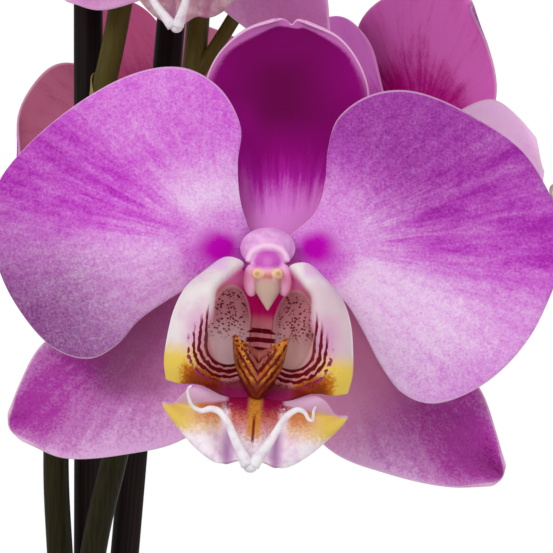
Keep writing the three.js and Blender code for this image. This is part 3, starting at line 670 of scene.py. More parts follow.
clips = [("clip_1_low", 0, 0, 232), ("clip_1_high", 0, 0, 441), ("clip_2_low", 1, 1, 226), ("clip_2_high", 1, 1, 512)]
moulded = Paint("clip_plastic", specular_ior_level=0.5)
x, y, z, at = moulded.place()
scuff = moulded.cloud(at, 0.8, 4, 0.6)
green = moulded.mix(dye(58, 74, 48), dye(84, 102, 70), scuff.over(0.35, 0.7))
plastic = moulded.done(green, 0.4 + scuff * 0.2, scuff, 0.08, 0.5)
for label, rod_number, spike, height in clips:
    foot, head = stakes[rod_number]
    share = (height - foot[2]) / (head[2] - foot[2])
    middle = np.array(foot) + share * (np.array(head) - foot)
    line = even(spikes[spike], 421)
    twig = line[int(np.argmax(line[:, 2] >= height))]
    span = np.array([twig[0] - middle[0], twig[1] - middle[1], 0])
    far, ahead = np.linalg.norm(span), unit(span)
    aside = np.array([-ahead[1], ahead[0], 0])

    def band(u, v):
        bend, straight = math.pi * 4.25, far
        run = u * 2 * (bend + straight)
        first, second, third = np.minimum(run, bend), np.clip(run - bend, 0, straight), np.clip(run - bend - straight, 0, bend)
        fourth = np.clip(run - 2 * bend - straight, 0, straight)
        angle = math.pi / 2 + (first + third) / 4.25
        section = 2 * math.pi * v
        out = 4.25 + 0.5 * np.sign(np.cos(section)) * np.abs(np.cos(section)) ** 0.3
        up = 3 * np.sign(np.sin(section)) * np.abs(np.sin(section)) ** 0.3
        forward = out * np.cos(angle) + second - fourth
        left = out * np.sin(angle)
        return (middle + ahead * forward[:, None] + aside * left[:, None] + np.array([0, 0, 1.0]) * up[:, None]).T

    clip = laid(f"plant_{label}", 72, 24, band, closed=True)
    settle(clip, plastic, "clip", label)


# Petals and sepals. Each open bloom has a tall sepal behind, two round petals and two sepals below.
# Each is a thin waxy blade that starts at a narrow claw, with faint radial veins, and its pale rim is painted light
# shining through the thin edge.

tepals = {
    "dorsal_sepal": (
        [(5.4, 1.6), (10.6, 7.2), (13.6, 14.2), (16.6, 22.2), (18.9, 28.1), (17.4, 34.2), (13.3, 39.6), (6.8, 42.6)],
        [(-3.2, 2.4), (-6.4, 8.8), (-8.6, 16.4), (-10.7, 24), (-11.8, 30.5), (-9.3, 36.6), (-4.3, 41), (1.3, 42.9)],
        lambda t, s: -3 - 1.5 * t + 2.4 * t * t * (2 * s - 1) ** 2,
    ),
    "petal_left": (
        [(-3.3, 2.6), (-5.2, 9.3), (-5.6, 16.7), (-5.0, 22.9), (-8.9, 29.9), (-16.3, 33.7), (-26.5, 31.8),
         (-38.5, 24.4), (-48.1, 14.8), (-51.4, 6.5)],
        [(-3.3, -2.6), (-8, -4.7), (-13.5, -6.6), (-18.1, -9.1), (-23.7, -13), (-27.8, -17.6), (-33.3, -20.2),
         (-40.3, -17.6), (-46.8, -9.3), (-51, 0.9)],
        lambda t, s: -0.9 + 5.2 * np.sin(2.2 * np.sqrt(t)) - 2.2 * t * (2 * s - 1) ** 2 + 0.7 * t * np.sin(9 * s + 1),
    ),
    "petal_right": (
        [(3.3, -2.6), (9.4, -5.9), (14.2, -9.6), (17.4, -14.8), (20.4, -20.7), (24.8, -26.5), (31.5, -28.3),
         (40.7, -24.1), (48.5, -15.7), (53.6, -3.7)],
        [(3.7, 2.2), (8.9, 7), (10.7, 13), (11.1, 18.5), (13, 24.4), (19.2, 28.7), (27.3, 29.2), (37.3, 25.0),
         (47.2, 17.9), (53.8, 6.3)],
        lambda t, s: -0.9 + 5.2 * np.sin(2.2 * np.sqrt(t)) - 2.2 * t * (2 * s - 1) ** 2 + 0.7 * t * np.sin(8 * s + 2),
    ),
    "lateral_sepal_left": (
        [(-3.6, -0.4), (-11.7, -3.6), (-22.8, -8.6), (-34.8, -13.3), (-42.2, -17.6), (-46.4, -25), (-48.3, -30.5)],
        [(-1.2, -4.8), (-2, -14.8), (-5.4, -26.6), (-15.6, -35.2), (-26.5, -38.1), (-38.0, -38.8), (-46.1, -35.2)],
        lambda t, s: -3 - 2.5 * t + 1.6 * t * (2 * s - 1) ** 2,
    ),
    "lateral_sepal_right": (
        [(1.2, -4.8), (1.4, -14.8), (3, -26.4), (11.4, -37.2), (22.6, -41.8), (33.7, -44.2), (42, -43.7)],
        [(3.6, -0.6), (11.5, -3.9), (22.2, -9.8), (32.4, -18), (39.4, -25.5), (42.6, -34), (44.2, -40.3)],
        lambda t, s: -3 - 2.5 * t + 1.6 * t * (2 * s - 1) ** 2,
    ),
}


def tepal_surface(label, bloom):
    """The surface of a tepal: u from one edge to the other and v from its claw to its rounded tip.
    The tip of the tall sepal has a small cleft. A bloom may name a sepal that stands turned a little, or one that is fuller."""
    first, second, relief = tepals[label]
    tip = np.array(second[-1]) - np.array(first[-1])
    outward = np.mean([first[-1], second[-1]], axis=0) - np.mean([first[-2], second[-2]], axis=0)
    outward = unit(outward - unit(tip) * outward.dot(unit(tip))) * np.linalg.norm(tip)
    turn = math.radians(-bloom.get(label, 0))
    open_tip = 2.2 if bloom["turn"] == 126 and label == "petal_left" else 0

    def place(u, v):
        a, b = through(first, v), through(second, v)
        if label == "dorsal_sepal":
            bulge = 0.08 * np.sin(2 * math.pi * u) ** 2 - 0.12 * np.exp(-(((u - 0.42) / 0.09) ** 2))
        else:
            bulge = 1.0 * u * (1 - u)
        flat = a + (b - a) * u[:, None] + outward * (bulge * np.clip(v * 6 - 5, 0, 1) ** 2)[:, None]
        amount, edge = bloom.get("full", {}).get(label, (0, 0))
        swell = amount * np.sin(math.pi * v * 0.9) ** 0.6 * (u if edge else 1 - u)
        flat = flat + np.outer(swell, (0, -1) if edge else (-0.56, 0.83))
        x = flat[:, 0] * math.cos(turn) - flat[:, 1] * math.sin(turn)
        y = flat[:, 0] * math.sin(turn) + flat[:, 1] * math.cos(turn)
        edge = np.minimum(np.minimum(u, 1 - u), 2 * (1 - v))
        ruffle = 0.3 * np.sin(v * 17 + u * 5 + first[2][0]) * np.exp(-edge * 9) * v
        lift = open_tip * v**3 * (2 * u - 1) ** 2
        return framed(bloom, np.stack([x, y, relief(v, u) + ruffle + lift], axis=1)).T
    return place


def tepal(name, label, bloom, columns, rows):
    """One blade. It notes its own flat place in the bloom as "flower", in mm, and its distance from
    the margin in mm, its share of the way to the tip and its bloom's tone as "margin"."""
    first, second, relief = tepals[label]
    made = laid(name, columns, rows, tepal_surface(label, bloom))
    u, v, w = noted_before(made, "grid").T
    a, b = through(first, v), through(second, v)
    flat = a + (b - a) * u[:, None]
    noted(made, "flower", flat[:, 0], flat[:, 1], u)
    noted(made, "margin", np.minimum(np.minimum(u, 1 - u) * np.linalg.norm(b - a, axis=1), (1 - v) * 48), v, bloom["tone"])
    thickened(made, 0.7)
    return made


def petal_paint(name, kind):
    """The skin of a petal or sepal, painted in the bloom's own frame."""
    skin = Paint(name, specular_ior_level=0.06, subsurface_weight=0.1, subsurface_scale=0.002)
    x, y, s, flat = skin.marked("flower")
    rim, t, tone, blade = skin.marked("margin")
    u, v, back, grid = skin.marked("grid")
    side, hand = x.sum("ABSOLUTE"), x.over(-1, 1)
    out, up = side - 8.4, y - 0.4
    reach = (out * out + up * up) ** 0.5
    angle = up.sum("ARCTAN2", out)
    veins = skin.cloud(skin.vector(angle * 10, reach * 0.055, hand * 3 + tone * 20), 1.0, 3, 0.6)
    threads = skin.cloud(skin.vector(angle * 32, reach * 0.09, hand * 3 + tone * 20), 1.0, 2, 0.5)
    soft = skin.cloud(skin.vector(x, y, tone * 30), 0.07, 3, 0.6)
    blots = skin.cloud(skin.vector(x, y, tone * 30), 0.55, 4, 0.75)
    grain = skin.cloud(flat, 2.0, 3, 0.8)
    cells = skin.cells(flat, 1.9).over(0.75, 0.1)
    mottle = (grain - 0.5) * 1.5 + (blots - 0.5) * 0.9 + (cells - 0.4) * 0.25
    if kind == "petal":
        high = (angle - (1 - hand) * 0.13).over(0.38, 0.78)
        low = (angle - (1 - hand) * 0.35).over(0.0, -0.42)
        band = 0.64 - hand * 0.22 + reach.over(9, 27) * (0.24 + hand * 0.2)
        top = 0.2 + hand * 0.28 + reach.over(9, 22) * (0.42 - hand * 0.04)
        foot = 0.3 - hand * 0.2 + reach.over(22, 42) * (0.26 + hand * 0.04)
        pigment = band * (1 - high) * (1 - low) + top * high + foot * low
        claw = reach.over(10, 5)
        pigment = pigment * (1 - claw) + (0.48 + low * 0.2) * claw
        streaks = reach.over(7, 15) * (0.35 + (1 - high) * (1 - low) * 0.65)
        pigment = pigment + (veins - 0.5) * streaks * 1.2 + (threads - 0.5) * streaks * 0.6
        pigment = pigment + mottle * 0.55 + (soft - 0.5) * 0.3
        tint = skin.mix(dye(244, 214, 246), dye(221, 138, 224), pigment.over(-0.12, 0.6))
        tint = skin.mix(tint, dye(208, 90, 212), pigment.over(0.45, 0.85))
        tint = skin.mix(tint, dye(184, 44, 188), pigment.over(0.75, 1.15))
        tint = skin.mix(tint, dye(140, 10, 142), pigment.over(1.05, 1.7))
        # Painted shade: the right petal is darkened toward its upper part and the left toward its lower outer part,
        # where they turn from the light; the pigment above is the petals' own colour.
        painted_petal_shade = hand * (reach.over(6, 24) * angle.over(-0.45, 0.9) * 0.5 + reach.over(14, 30) * angle.over(-0.4, -0.9) * 0.12)
        painted_petal_shade = painted_petal_shade + (1 - hand) * (reach.over(12, 31) * angle.over(0.3, -0.4) * 0.52 + reach.over(20, 44) * angle.over(1.0, 0.5) * 0.24)
        tint = skin.mix(tint, dye(92, 34, 86), painted_petal_shade * (1 + mottle * 0.5))
        tint = skin.mix(tint, dye(196, 0, 190), (reach + out.sum("MAXIMUM", 0.0) * -0.35 + soft * 2 + mottle).over(4.9, 2.2))
    elif kind == "dorsal":
        strands = skin.cloud(skin.vector(x * 0.8 - y * x * 0.012, y * 0.05, 0.0), 1.0, 3, 0.65)
        climb = y + (strands - 0.5) * 13 + mottle * 1.6 - x * 0.1 - x.over(-1, -7) * 4
        tint = skin.mix(dye(232, 140, 230), dye(182, 30, 170), climb.over(6, 14))
        tint = skin.mix(tint, dye(146, 0, 122), climb.over(11, 19))
        # Partly own colour, partly painted shade: the deep purple across the middle and top of the sepal, darkest where
        # a tepal behind it keeps the light from coming through.
        tint = skin.mix(tint, dye(104, 0, 74), (x - 2.6).near(0.0, 18.0) * y.over(17, 27))
        tint = skin.mix(tint, dye(124, 0, 98), (x - 2.0).near(0.0, 16.0) * y.over(32, 38) * 0.8)
        # Painted light: the lower left of the sepal is painted brighter magenta to make up for the shade it gets.
        tint = skin.mix(tint, dye(176, 12, 158), x.over(0, -7) * y.over(30, 22) * 0.7)
        # Painted light: the lighter band along the top edge, where light shines through with no tepal behind.
        brim = (rim + mottle * 0.5 - y.over(36, 42) * 2.2).over(2.0, 0.4) * y.over(27, 37) * 1.3 + rim.over(1.2, 0.3) * 0.4
        tint = skin.mix(tint, dye(196, 106, 182), brim * 0.9)
        tint = skin.mix(tint, dye(236, 158, 228), y.over(9, 3) * 0.6)
    else:
        low = s + hand * (1 - s * 2)
        pigment = 0.95 - (low - hand * 0.1).over(0.25, 1.0) * 0.85 - low.over(0.2, 0.0) * 0.35 + t.over(0.6, 0.9) * (0.2 + hand * 0.25)
        pigment = pigment + (soft - 0.5) * 0.4 + mottle * 0.75 + (veins - 0.5) * 0.7 + (threads - 0.5) * 0.4 - rim.over(2.2, 0.4) * 0.15
        tint = skin.mix(dye(226, 178, 226), dye(196, 120, 190), pigment.over(-0.1, 0.6))
        tint = skin.mix(tint, dye(176, 60, 166), pigment.over(0.5, 1.05))
        tint = skin.mix(tint, dye(132, 16, 116), pigment.over(1.05, 1.7))
        # Painted shadow of the petals, on the front bloom only: the left sepal is darkened just below the petal's edge
        # and the right one across its middle.
        painted_sepal_shadow = (1 - hand) * y.over(-29.5, -25) * side.over(36, 28) * side.over(14, 22) * 0.55
        painted_sepal_shadow = (painted_sepal_shadow + hand * low.near(0.5, 0.55) * 0.35) * tone.near(0.5, 0.05)
        tint = skin.mix(tint, dye(106, 44, 78), painted_sepal_shadow)
        # Painted light: the inner part of each sepal, towards its claw, is lightened where the lip and petals shade it.
        tint = skin.mix(tint, dye(230, 158, 196), t.over(0.62, 0.4) * (0.26 + hand * 0.5))
        # Painted light: the sepals of every bloom but the front one are painted paler.
        tint = skin.mix(tint, dye(240, 168, 222), 0.5 - tone.near(0.5, 0.05) * 0.5)
    # Painted light: the pale rim along every margin, light shining through the thin edge.
    tint = skin.mix(tint, dye(234, 200, 226), (rim + mottle * 0.12).over(0.42, 0.12) * (0.8 if kind == "dorsal" else 0.5))
    # The rear face is painted between a shaded and a lit copy of its colour by the bloom's tone: painted shade at 0 and
    # painted light at 1, for light shining through from behind.
    lit_rear, shade = {"petal": ((255, 134, 232), (208, 6, 156)), "dorsal": ((255, 146, 248), (228, 84, 212)),
                    "lateral": ((255, 214, 255), (244, 150, 240))}[kind]
    shaded_rear_and_worn_cane, dull = {"petal": ((206, 116, 148), (168, 60, 108)), "dorsal": ((204, 92, 142), (168, 56, 110)),
                  "lateral": ((216, 128, 166), (196, 84, 140))}[kind]
    spread = (soft * 0.8 + (veins - 0.5) * 1.1 + mottle * 0.35 + reach.over(30, 12) * 0.7).over(0.3, 1.2)
    rear = skin.mix(skin.mix(dye(*shaded_rear_and_worn_cane), dye(*dull), spread), skin.mix(dye(*lit_rear), dye(*shade), spread), tone.over(0.0, 1.0))
    # Painted light: the same pale rim on the rear face.
    rear = skin.mix(rear, dye(240, 196, 220), rim.over(0.5, 0.1) * 0.5)
    tint = skin.mix(tint, rear, back.over(0.3, 0.7))
    return skin.done(tint, 0.55 + grain * 0.15, veins * 0.5 + threads * 0.4 + blots * 0.4, 0.15, 0.45)


paints = {kind: petal_paint(f"{kind}_skin", kind) for kind in ("petal", "dorsal", "lateral")}
paint_of = {label: paints[label.split("_")[0]] for label in tepals}
for label in tepals:
    blade = tepal(f"hero_{label}", label, blooms[0], 36, 46)
    settle(blade, paint_of[label], "tepal", f"bloom_1_{label}")
for n, bloom in enumerate(blooms[1:], 2):
    parts = []
    for label in tepals:
        blade = tepal(f"bloom_{n}_{label}", label, bloom, 16, 22)
        blade.data.materials.append(paint_of[label])
        parts.append(blade)
    hub_wall = turned([(0, -5.6), (3.4, -5.5), (4.2, -4.6), (4.7, -2.6), (4.4, -0.6), (2.8, 0), (0, 0.1)])
    hub = laid(f"receptacle_{n}", 24, 18, lambda u, v, b=bloom: framed(b, np.stack(hub_wall(u, v), axis=1)).T, closed=True)
    noted(hub, "flower", *np.tile([[9.0], [4.0], [0.5]], len(hub.data.vertices)))
    noted(hub, "margin", *np.tile([[9.0], [0.1], [0.5]], len(hub.data.vertices)))
    hub.data.materials.append(paints["petal"])
    settle(one_piece(f"petals_of_bloom_{n}", parts + [hub]), None, "tepal", f"bloom_{n}_tepals")


# Lip. The third petal, at the front: two side lobes that roll in round the throat, a middle lobe with
# two wings, a raised callus with two horns, and two tendrils that curl back from the tip.

cup = [
    [(-16.4, -24.7, 13), (-13.8, -25.2, 13.5), (-11.5, -25.1, 12), (-9.2, -25.7, 10.5), (-6.9, -26.7, 9),
     (-4.7, -27.6, 8), (-2.2, -27.4, 8), (0, -27.2, 8)],
    [(-16.9, -21.3, 15), (-14.0, -21.7, 16.6), (-11.2, -22.1, 15.5), (-9.4, -22.8, 10), (-7.0, -23.8, 7.5),
     (-4.6, -25.0, 6.5), (-2.0, -25.3, 6.5), (0, -25.3, 6.5)],
    [(-16.7, -17.6, 16), (-13.6, -16.8, 17.8), (-10.5, -16.0, 17.8), (-10.1, -17.3, 9), (-8.3, -19.4, 5),
     (-5.3, -21.0, 4.5), (-1.9, -21.9, 4.2), (0, -21.9, 3.5)],
    [(-15.9, -12.5, 16.2), (-12.8, -11.9, 17.8), (-9.3, -12.2, 18.2), (-9.1, -13.2, 8.5), (-7.6, -15.0, 4.6),
     (-4.8, -16.0, 4.8), (-2.1, -16.8, 3.2), (0, -16.8, 1.8)],
    [(-14.1, -8.3, 14.8), (-11.8, -7.3, 16.8), (-9.0, -7.9, 17.4), (-9.0, -9.0, 8), (-7.3, -10.3, 4.6),
     (-4.4, -11.4, 4.6), (-2.2, -12.0, 2.8), (0, -12.2, 1.2)],
    [(-11.2, -5.3, 12.6), (-9.4, -4.6, 14.4), (-7.3, -5.6, 14.9), (-7.0, -6.6, 7.5), (-5.4, -7.4, 5.4),
     (-3.4, -8.0, 4), (-1.7, -8.6, 2.4), (0, -8.9, 1)],
    [(-8.6, -2.9, 10.8), (-6.7, -2.0, 12.4), (-4.3, -2.5, 12.7), (-4.6, -3.7, 7.5), (-3.4, -4.7, 5.6),
     (-2.5, -5.6, 3.8), (-1.3, -6.2, 2), (0, -6.5, 1)],
]
middle_lobe = [
    [(-5.6, -28.0, 8.2), (-4.6, -27.8, 8.2), (-3.4, -27.6, 8.1), (-2.2, -27.4, 8), (-1.1, -27.2, 8), (0, -27.1, 8)],
    [(-11.4, -25.7, 15), (-9.2, -26.8, 15), (-7.2, -27.9, 13.4), (-4.4, -28.2, 10.4), (-2.2, -28.0, 10), (0, -28.0, 10)],
    [(-14.8, -28.9, 12.6), (-11.5, -29.4, 13.5), (-8.2, -29.8, 13.6), (-5.4, -29.6, 12), (-2.5, -29.0, 12), (0, -29.2, 12.4)],
    [(-16.9, -29.0, 13.6), (-12.6, -31.5, 16), (-8.4, -33.2, 17.6), (-4.9, -33.4, 14.4), (-1.8, -32.4, 17.4), (0, -32.6, 18)],
    [(-13.8, -32.4, 15), (-10.6, -35.2, 17.6), (-6.8, -37.2, 19.6), (-3.9, -36.7, 16.6), (-1.2, -36.2, 21.5), (0, -36.4, 22.5)],
    [(-11.2, -34.8, 15.6), (-8.1, -37.3, 18), (-4.9, -38.6, 20), (-2.4, -37.8, 20), (-0.9, -38.3, 24.5), (0, -38.8, 26.5)],
]
callus = [
    [(-0.6, -26.9, 9), (-0.3, -27, 9.4), (0, -27, 9.6)],
    [(-2.4, -24.7, 7.5), (-1.3, -24.3, 10.6), (0, -24.2, 10.6)],
    [(-3.7, -21.9, 7.6), (-2.3, -21.3, 12), (0, -21.5, 10.2)],
    [(-4.4, -19.2, 8.4), (-3.0, -18.8, 12.6), (0, -19.4, 9.4)],
    [(-4.7, -15.6, 13.2), (-4.1, -16.4, 12.6), (0, -18.9, 7.2)],
]
tendrils = [
    [(-0.3, -38.3, 26.2), (-1.7, -36, 26), (-3.2, -33.4, 26), (-4.6, -30.8, 25.6), (-6.1, -29.2, 25), (-7.7, -28.8, 24.6),
     (-9.3, -29.3, 24.4), (-10.9, -28.6, 25), (-11.7, -27.0, 26), (-11.9, -25.6, 26.6), (-11.2, -24.8, 27)],
    [(0.3, -38.3, 26.2), (1.9, -35.6, 26), (3.5, -32.9, 26), (4.8, -30.4, 25.6), (6.0, -28.7, 25), (7.5, -27.8, 24.6),
     (8.8, -28.2, 24.6), (9.6, -29.3, 25), (10.3, -29.3, 25.6), (10.3, -27.7, 26), (10.7, -26.8, 26.4)],
]
lip_roll = np.array(Matrix.Rotation(math.radians(-4.5), 3, "Z"))


def both_halves(rows):
    return [row + [(-x, y, z) for x, y, z in reversed(row[:-1])] for row in rows]


def woven(rows, bloom):
    """A smooth surface through a net of points: u along its rows, v from row to row."""
    def place(u, v):
        across = np.stack([through(row, u) for row in rows])
        return framed(bloom, through(across, v) @ lip_roll.T).T
    return place


def lump(name, at, size, bloom, rings=14, tilt=np.eye(3)):
    """A ball stretched to a size, in a bloom's frame."""
    bpy.ops.object.select_all(action="DESELECT")
    bpy.ops.mesh.primitive_uv_sphere_add(segments=rings * 2, ring_count=rings, radius=1)
    made = bpy.context.active_object
    made.name = name
    put(made, framed(bloom, (spots(made) / 1000 * size + at) @ tilt.T))
    bpy.ops.object.shade_smooth()
    return made


def lip_noted(piece, bloom):
    """Notes each vertex's place in the lip's own frame, in mm, as "flower", and the tone as "margin"."""
    local = (spots(piece) - bloom["at"]) @ bloom["facing"] / bloom["size"] @ lip_roll
    noted(piece, "flower", *local.T)
    noted(piece, "margin", local[:, 0] * 0, 0, bloom["tone"])
    return piece


lobes = Paint("lip_cup_skin", specular_ior_level=0.12, subsurface_weight=0.15, subsurface_scale=0.002)
x, y, z, flat = lobes.marked("flower")
u, v, back, grid = lobes.marked("grid")
plain, still, tone, blade = lobes.marked("margin")
side = x.sum("ABSOLUTE")
from_rim = 1 - (u * 2 - 1).sum("ABSOLUTE")
strap = from_rim.over(0.34, 0.27)
rosy = lobes.cloud(flat, 0.25, 3, 0.6)
fleck = lobes.cloud(flat, 1.6, 3, 0.7)
skin = lobes.mix(dye(238, 228, 230), dye(228, 206, 216), rosy.over(0.35, 0.75))
# Painted shade: the right side lobe is painted greyer than the left.
skin = lobes.mix(skin, dye(218, 190, 202), x.over(6, 10) * y.over(-4, -7) * 0.8)
# Painted shade: lilac on the folded tops of the side lobes.
skin = lobes.mix(skin, dye(226, 176, 226), side.over(6.2, 7.4) * y.over(-5.5, -3.5) * 0.7)
blush = side.over(15.4, 12.0) * y.over(-9.5, -14) * y.over(-24, -21)
skin = lobes.mix(skin, dye(218, 146, 196), blush * (0.3 + rosy * 0.7))
# The throat, and the pale oval pad on the inside of each side lobe with its scatter of small spots
# Painted light: the throat is painted in lighter colours, its top lightest, to make up for the shade deep inside it.
throat = lobes.mix(dye(250, 178, 186), dye(214, 112, 136), y.over(-13, -7) * 0.8 + side.over(2.6, 1.6) * 0.5)
throat = lobes.mix(throat, dye(226, 20, 140), y.over(-13.6, -11.4) * side.over(6.5, 4.0))
throat = lobes.mix(throat, dye(255, 150, 220), y.over(-8.5, -5.5) * 0.9)
skin = lobes.mix(throat, skin, strap)
# Painted light and shade: the pad is paler on the left side lobe and greyer on the right.
oval = lobes.mix(dye(255, 232, 236), dye(200, 160, 156), x.over(-1, 1))
oval = lobes.mix(oval, dye(206, 142, 152), y.over(-18.5, -11) + (rosy - 0.5) * 0.4)
dots = lobes.cells(lobes.vector(x, y * 1.15 - side * 0.2), 1.75).over(0.5, 0.26)
oval = lobes.mix(oval, dye(120, 22, 54), dots * y.over(-17.6, -14.6) * y.over(-7.2, -8.6) * side.over(2.6, 3.4))
e = (((side - 5.85) / 3.7) ** 2 + ((y + 14.5) / 7.4) ** 2) ** 0.5
skin = lobes.mix(skin, oval, (1 - strap) * e.over(1.03, 0.97))
skin = lobes.mix(skin, dye(240, 206, 204), (1 - strap) * e.near(1.0, 0.06) * 0.5)
# Maroon lines that run round the pad, the outer ones broken into dots, and short bars down the middle
low_end = y - y.sum("MAXIMUM", -17.8).sum("MINIMUM", -11.5)
away = ((side - 5.85) * (side - 5.85) + low_end * low_end) ** 0.5 - 3.55
wobble = lobes.cloud(flat, 0.55, 2)
breaks = lobes.cloud(lobes.vector(x * 0.9, y * 0.9, 4.0), 1.0, 2)
lines = ((away + (wobble - 0.5) * 0.9) * 6.0 - 0.4).sum("SINE")
lines = lines - 0.3 + y.over(-14, -20.5) * 0.65 - away.over(1.9, 2.9) * (0.2 + breaks.over(0.56, 0.42) * 1.4)
lines = lines.over(-0.4, 0.05) * (y + away * 1.7).over(-9.4, -12.2) * away.over(0.05, 0.25) * away.over(4.4, 3.9) * side.over(1.4, 2.6) * y.over(-25.5, -24)
bars = ((y + 14.9) * 3.6 + (rosy - 0.5) * 2.4).sum("COSINE").over(-0.35, 0.15) * (side - y.over(-14.6, -15.4) * 0.9).over(2.1, 1.5)
bars = bars * y.over(-19.2, -18.4) * y.over(-13.8, -14.2)
gold = (y + (fleck - 0.5) * 2.4).over(-16.8, -20.8) * (side + (fleck - 0.5) * 2).over(9, 12.5)
rust = (y + (fleck - 0.5) * 4 - side * 0.38).over(-25.0, -28.4) * (side + (fleck - 0.5) * 3).over(14.8, 11.2) * side.over(5.5, 8)
skin = lobes.mix(skin, dye(240, 208, 92), gold)
skin = lobes.mix(skin, dye(204, 124, 24), rust.over(0.0, 0.45))
skin = lobes.mix(skin, dye(166, 70, 14), rust.over(0.35, 0.95))
pepper = lobes.cells(lobes.vector(x * 1.4, y * 1.4, z * 0.3), 1.3).over(0.5, 0.22)
skin = lobes.mix(skin, dye(124, 20, 14), (pepper * 0.5 + fleck.over(0.5, 0.62) * 0.4) * y.over(-21.0, -24) * side.over(12.4, 9.6) * side.over(4, 7))
skin = lobes.mix(skin, lobes.mix(dye(116, 8, 22), dye(176, 60, 130), away.over(2.9, 4.0)), lines)
skin = lobes.mix(skin, dye(110, 10, 22), bars)
skin = lobes.mix(skin, dye(120, 10, 20), (y + (fleck - 0.5) * 2 + side * 0.16).over(-22.9, -24.2) * side.over(12.5, 8.5) * 0.85)
skin = lobes.mix(skin, dye(158, 10, 96), (y + (fleck - 0.5) * 3).over(-24.2, -26.2) * side.over(8.0, 5.0) * 0.9)
skin = lobes.mix(skin, dye(250, 242, 244), from_rim.over(0.03, 0.006) * y.over(-19.5, -17.5))
# Painted shade: the lip of the bloom above the front one is darkened, as it hangs in shade.
skin = lobes.mix(skin, dye(176, 108, 140), tone.near(0.6, 0.05) * (0.3 + rosy * 0.6))
cup_material = lobes.done(skin, 0.5 + rosy * 0.1, rosy + lines * 0.4, 0.12, 0.5)

wings = Paint("lip_wing_skin", specular_ior_level=0.12, subsurface_weight=0.15, subsurface_scale=0.002)
x, y, z, flat = wings.marked("flower")
u, v, back, grid = wings.marked("grid")
plain, still, tone, blade = wings.marked("margin")
side = x.sum("ABSOLUTE")
rosy = wings.cloud(flat, 0.5, 3, 0.65)
fleck = wings.cloud(flat, 1.5, 3, 0.75)
speck = wings.cells(flat, 1.7).over(0.5, 0.2)
skin = wings.mix(dye(255, 242, 250), dye(232, 198, 232), rosy.over(0.4, 0.8))
# Painted shade: lilac in the valleys between the raised ribs and the wings of the middle lobe.
skin = wings.mix(skin, dye(176, 120, 180), side.near(4.3, 1.9) * y.over(-31.0, -33.5) * 0.85)
jagged = y + (fleck - 0.5) * 5
skin = wings.mix(skin, dye(238, 196, 140), jagged.over(-35.0, -31.6) * side.over(5, 7) * 0.85)
skin = wings.mix(skin, dye(206, 116, 60), (jagged - side * 0.1).over(-33.6, -30.6) * side.over(5, 7) * side.over(12.5, 9.5) * 0.9)
skin = wings.mix(skin, dye(228, 194, 92), (side + (fleck - 0.5) * 3).over(8.6, 13.4) * (jagged - side * 0.1).over(-35.4, -33.2))
skin = wings.mix(skin, dye(214, 128, 128), jagged.over(-35.5, -31.5) * side.over(5.2, 3.6) * 0.8)
skin = wings.mix(skin, dye(196, 92, 66), jagged.over(-33.0, -29.5) * side.over(5.2, 3.8) * 0.9)
skin = wings.mix(skin, dye(150, 4, 70), (jagged - side * 0.15).over(-31.0, -28.6) * side.over(8.4, 5.6))
skin = wings.mix(skin, dye(216, 146, 44), side.over(1.7, 0.7) * jagged.over(-35.0, -32.5) * 0.9)
skin = wings.mix(skin, dye(140, 20, 56), speck * jagged.over(-34, -29) * side.over(6, 4.5) * 0.5)
skin = wings.mix(skin, dye(120, 14, 16), (side + (fleck - 0.5) * 0.3).over(0.34, 0.16) * y.over(-35.0, -33.8) * y.over(-29.0, -31.0) * 0.9)
skin = wings.mix(skin, dye(216, 172, 204), (y + side * 0.12).over(-27.6, -26.9) * side.over(4.6, 5.6))
# Partly own colour, partly painted shade: the back of the middle lobe is painted mauve as it faces down away from the
# light.
skin = wings.mix(skin, dye(206, 140, 176), back * 0.8)
# Painted shade: the same darkening on that bloom's middle lobe.
skin = wings.mix(skin, dye(160, 86, 108), tone.near(0.6, 0.05) * (0.4 + rosy * 0.6))
wing_material = wings.done(skin, 0.5 + rosy * 0.1, rosy, 0.12, 0.4)

crest = Paint("callus_skin", specular_ior_level=0.3, subsurface_weight=0.1, subsurface_scale=0.001)
x, y, z, flat = crest.marked("flower")
side = x.sum("ABSOLUTE")
rosy = crest.cloud(flat, 0.8, 3, 0.65)
skin = crest.mix(dye(222, 144, 32), dye(182, 88, 20), rosy.over(0.35, 0.65))
skin = crest.mix(skin, dye(170, 96, 92), (side - (y + 23.4) * 0.42 + rosy).over(0.9, 0.3) * y.over(-17, -18.5) * 0.9)
chevron = ((y - side * 1.4) * 3.3 + (rosy - 0.5) * 6).sum("SINE").over(-0.15, 0.25) * (y - side * 0.6).over(-19.2, -20.4)
skin = crest.mix(skin, dye(104, 10, 12), chevron * (side + (rosy - 0.5) * 2).over(4.4, 3.6))
skin = crest.mix(skin, dye(100, 16, 10), crest.cells(flat, 1.25).over(0.48, 0.34) * y.over(-21.6, -20.2) * side.over(0.9, 1.6))
skin = crest.mix(skin, dye(112, 24, 16), (y + rosy * 2).over(-22.4, -23.8) * 0.85)
crest_material = crest.done(skin, 0.42, rosy, 0.15, 0.5)

thread = Paint("tendril_skin", specular_ior_level=0.15, subsurface_weight=0.15, subsurface_scale=0.002)
x, y, z, flat = thread.marked("flower")
rosy = thread.cloud(flat, 0.6, 2)
thread_material = thread.done(thread.mix(dye(246, 240, 244), dye(228, 208, 226), rosy.over(0.4, 0.8)), 0.4, rosy, 0.08, 0.3)

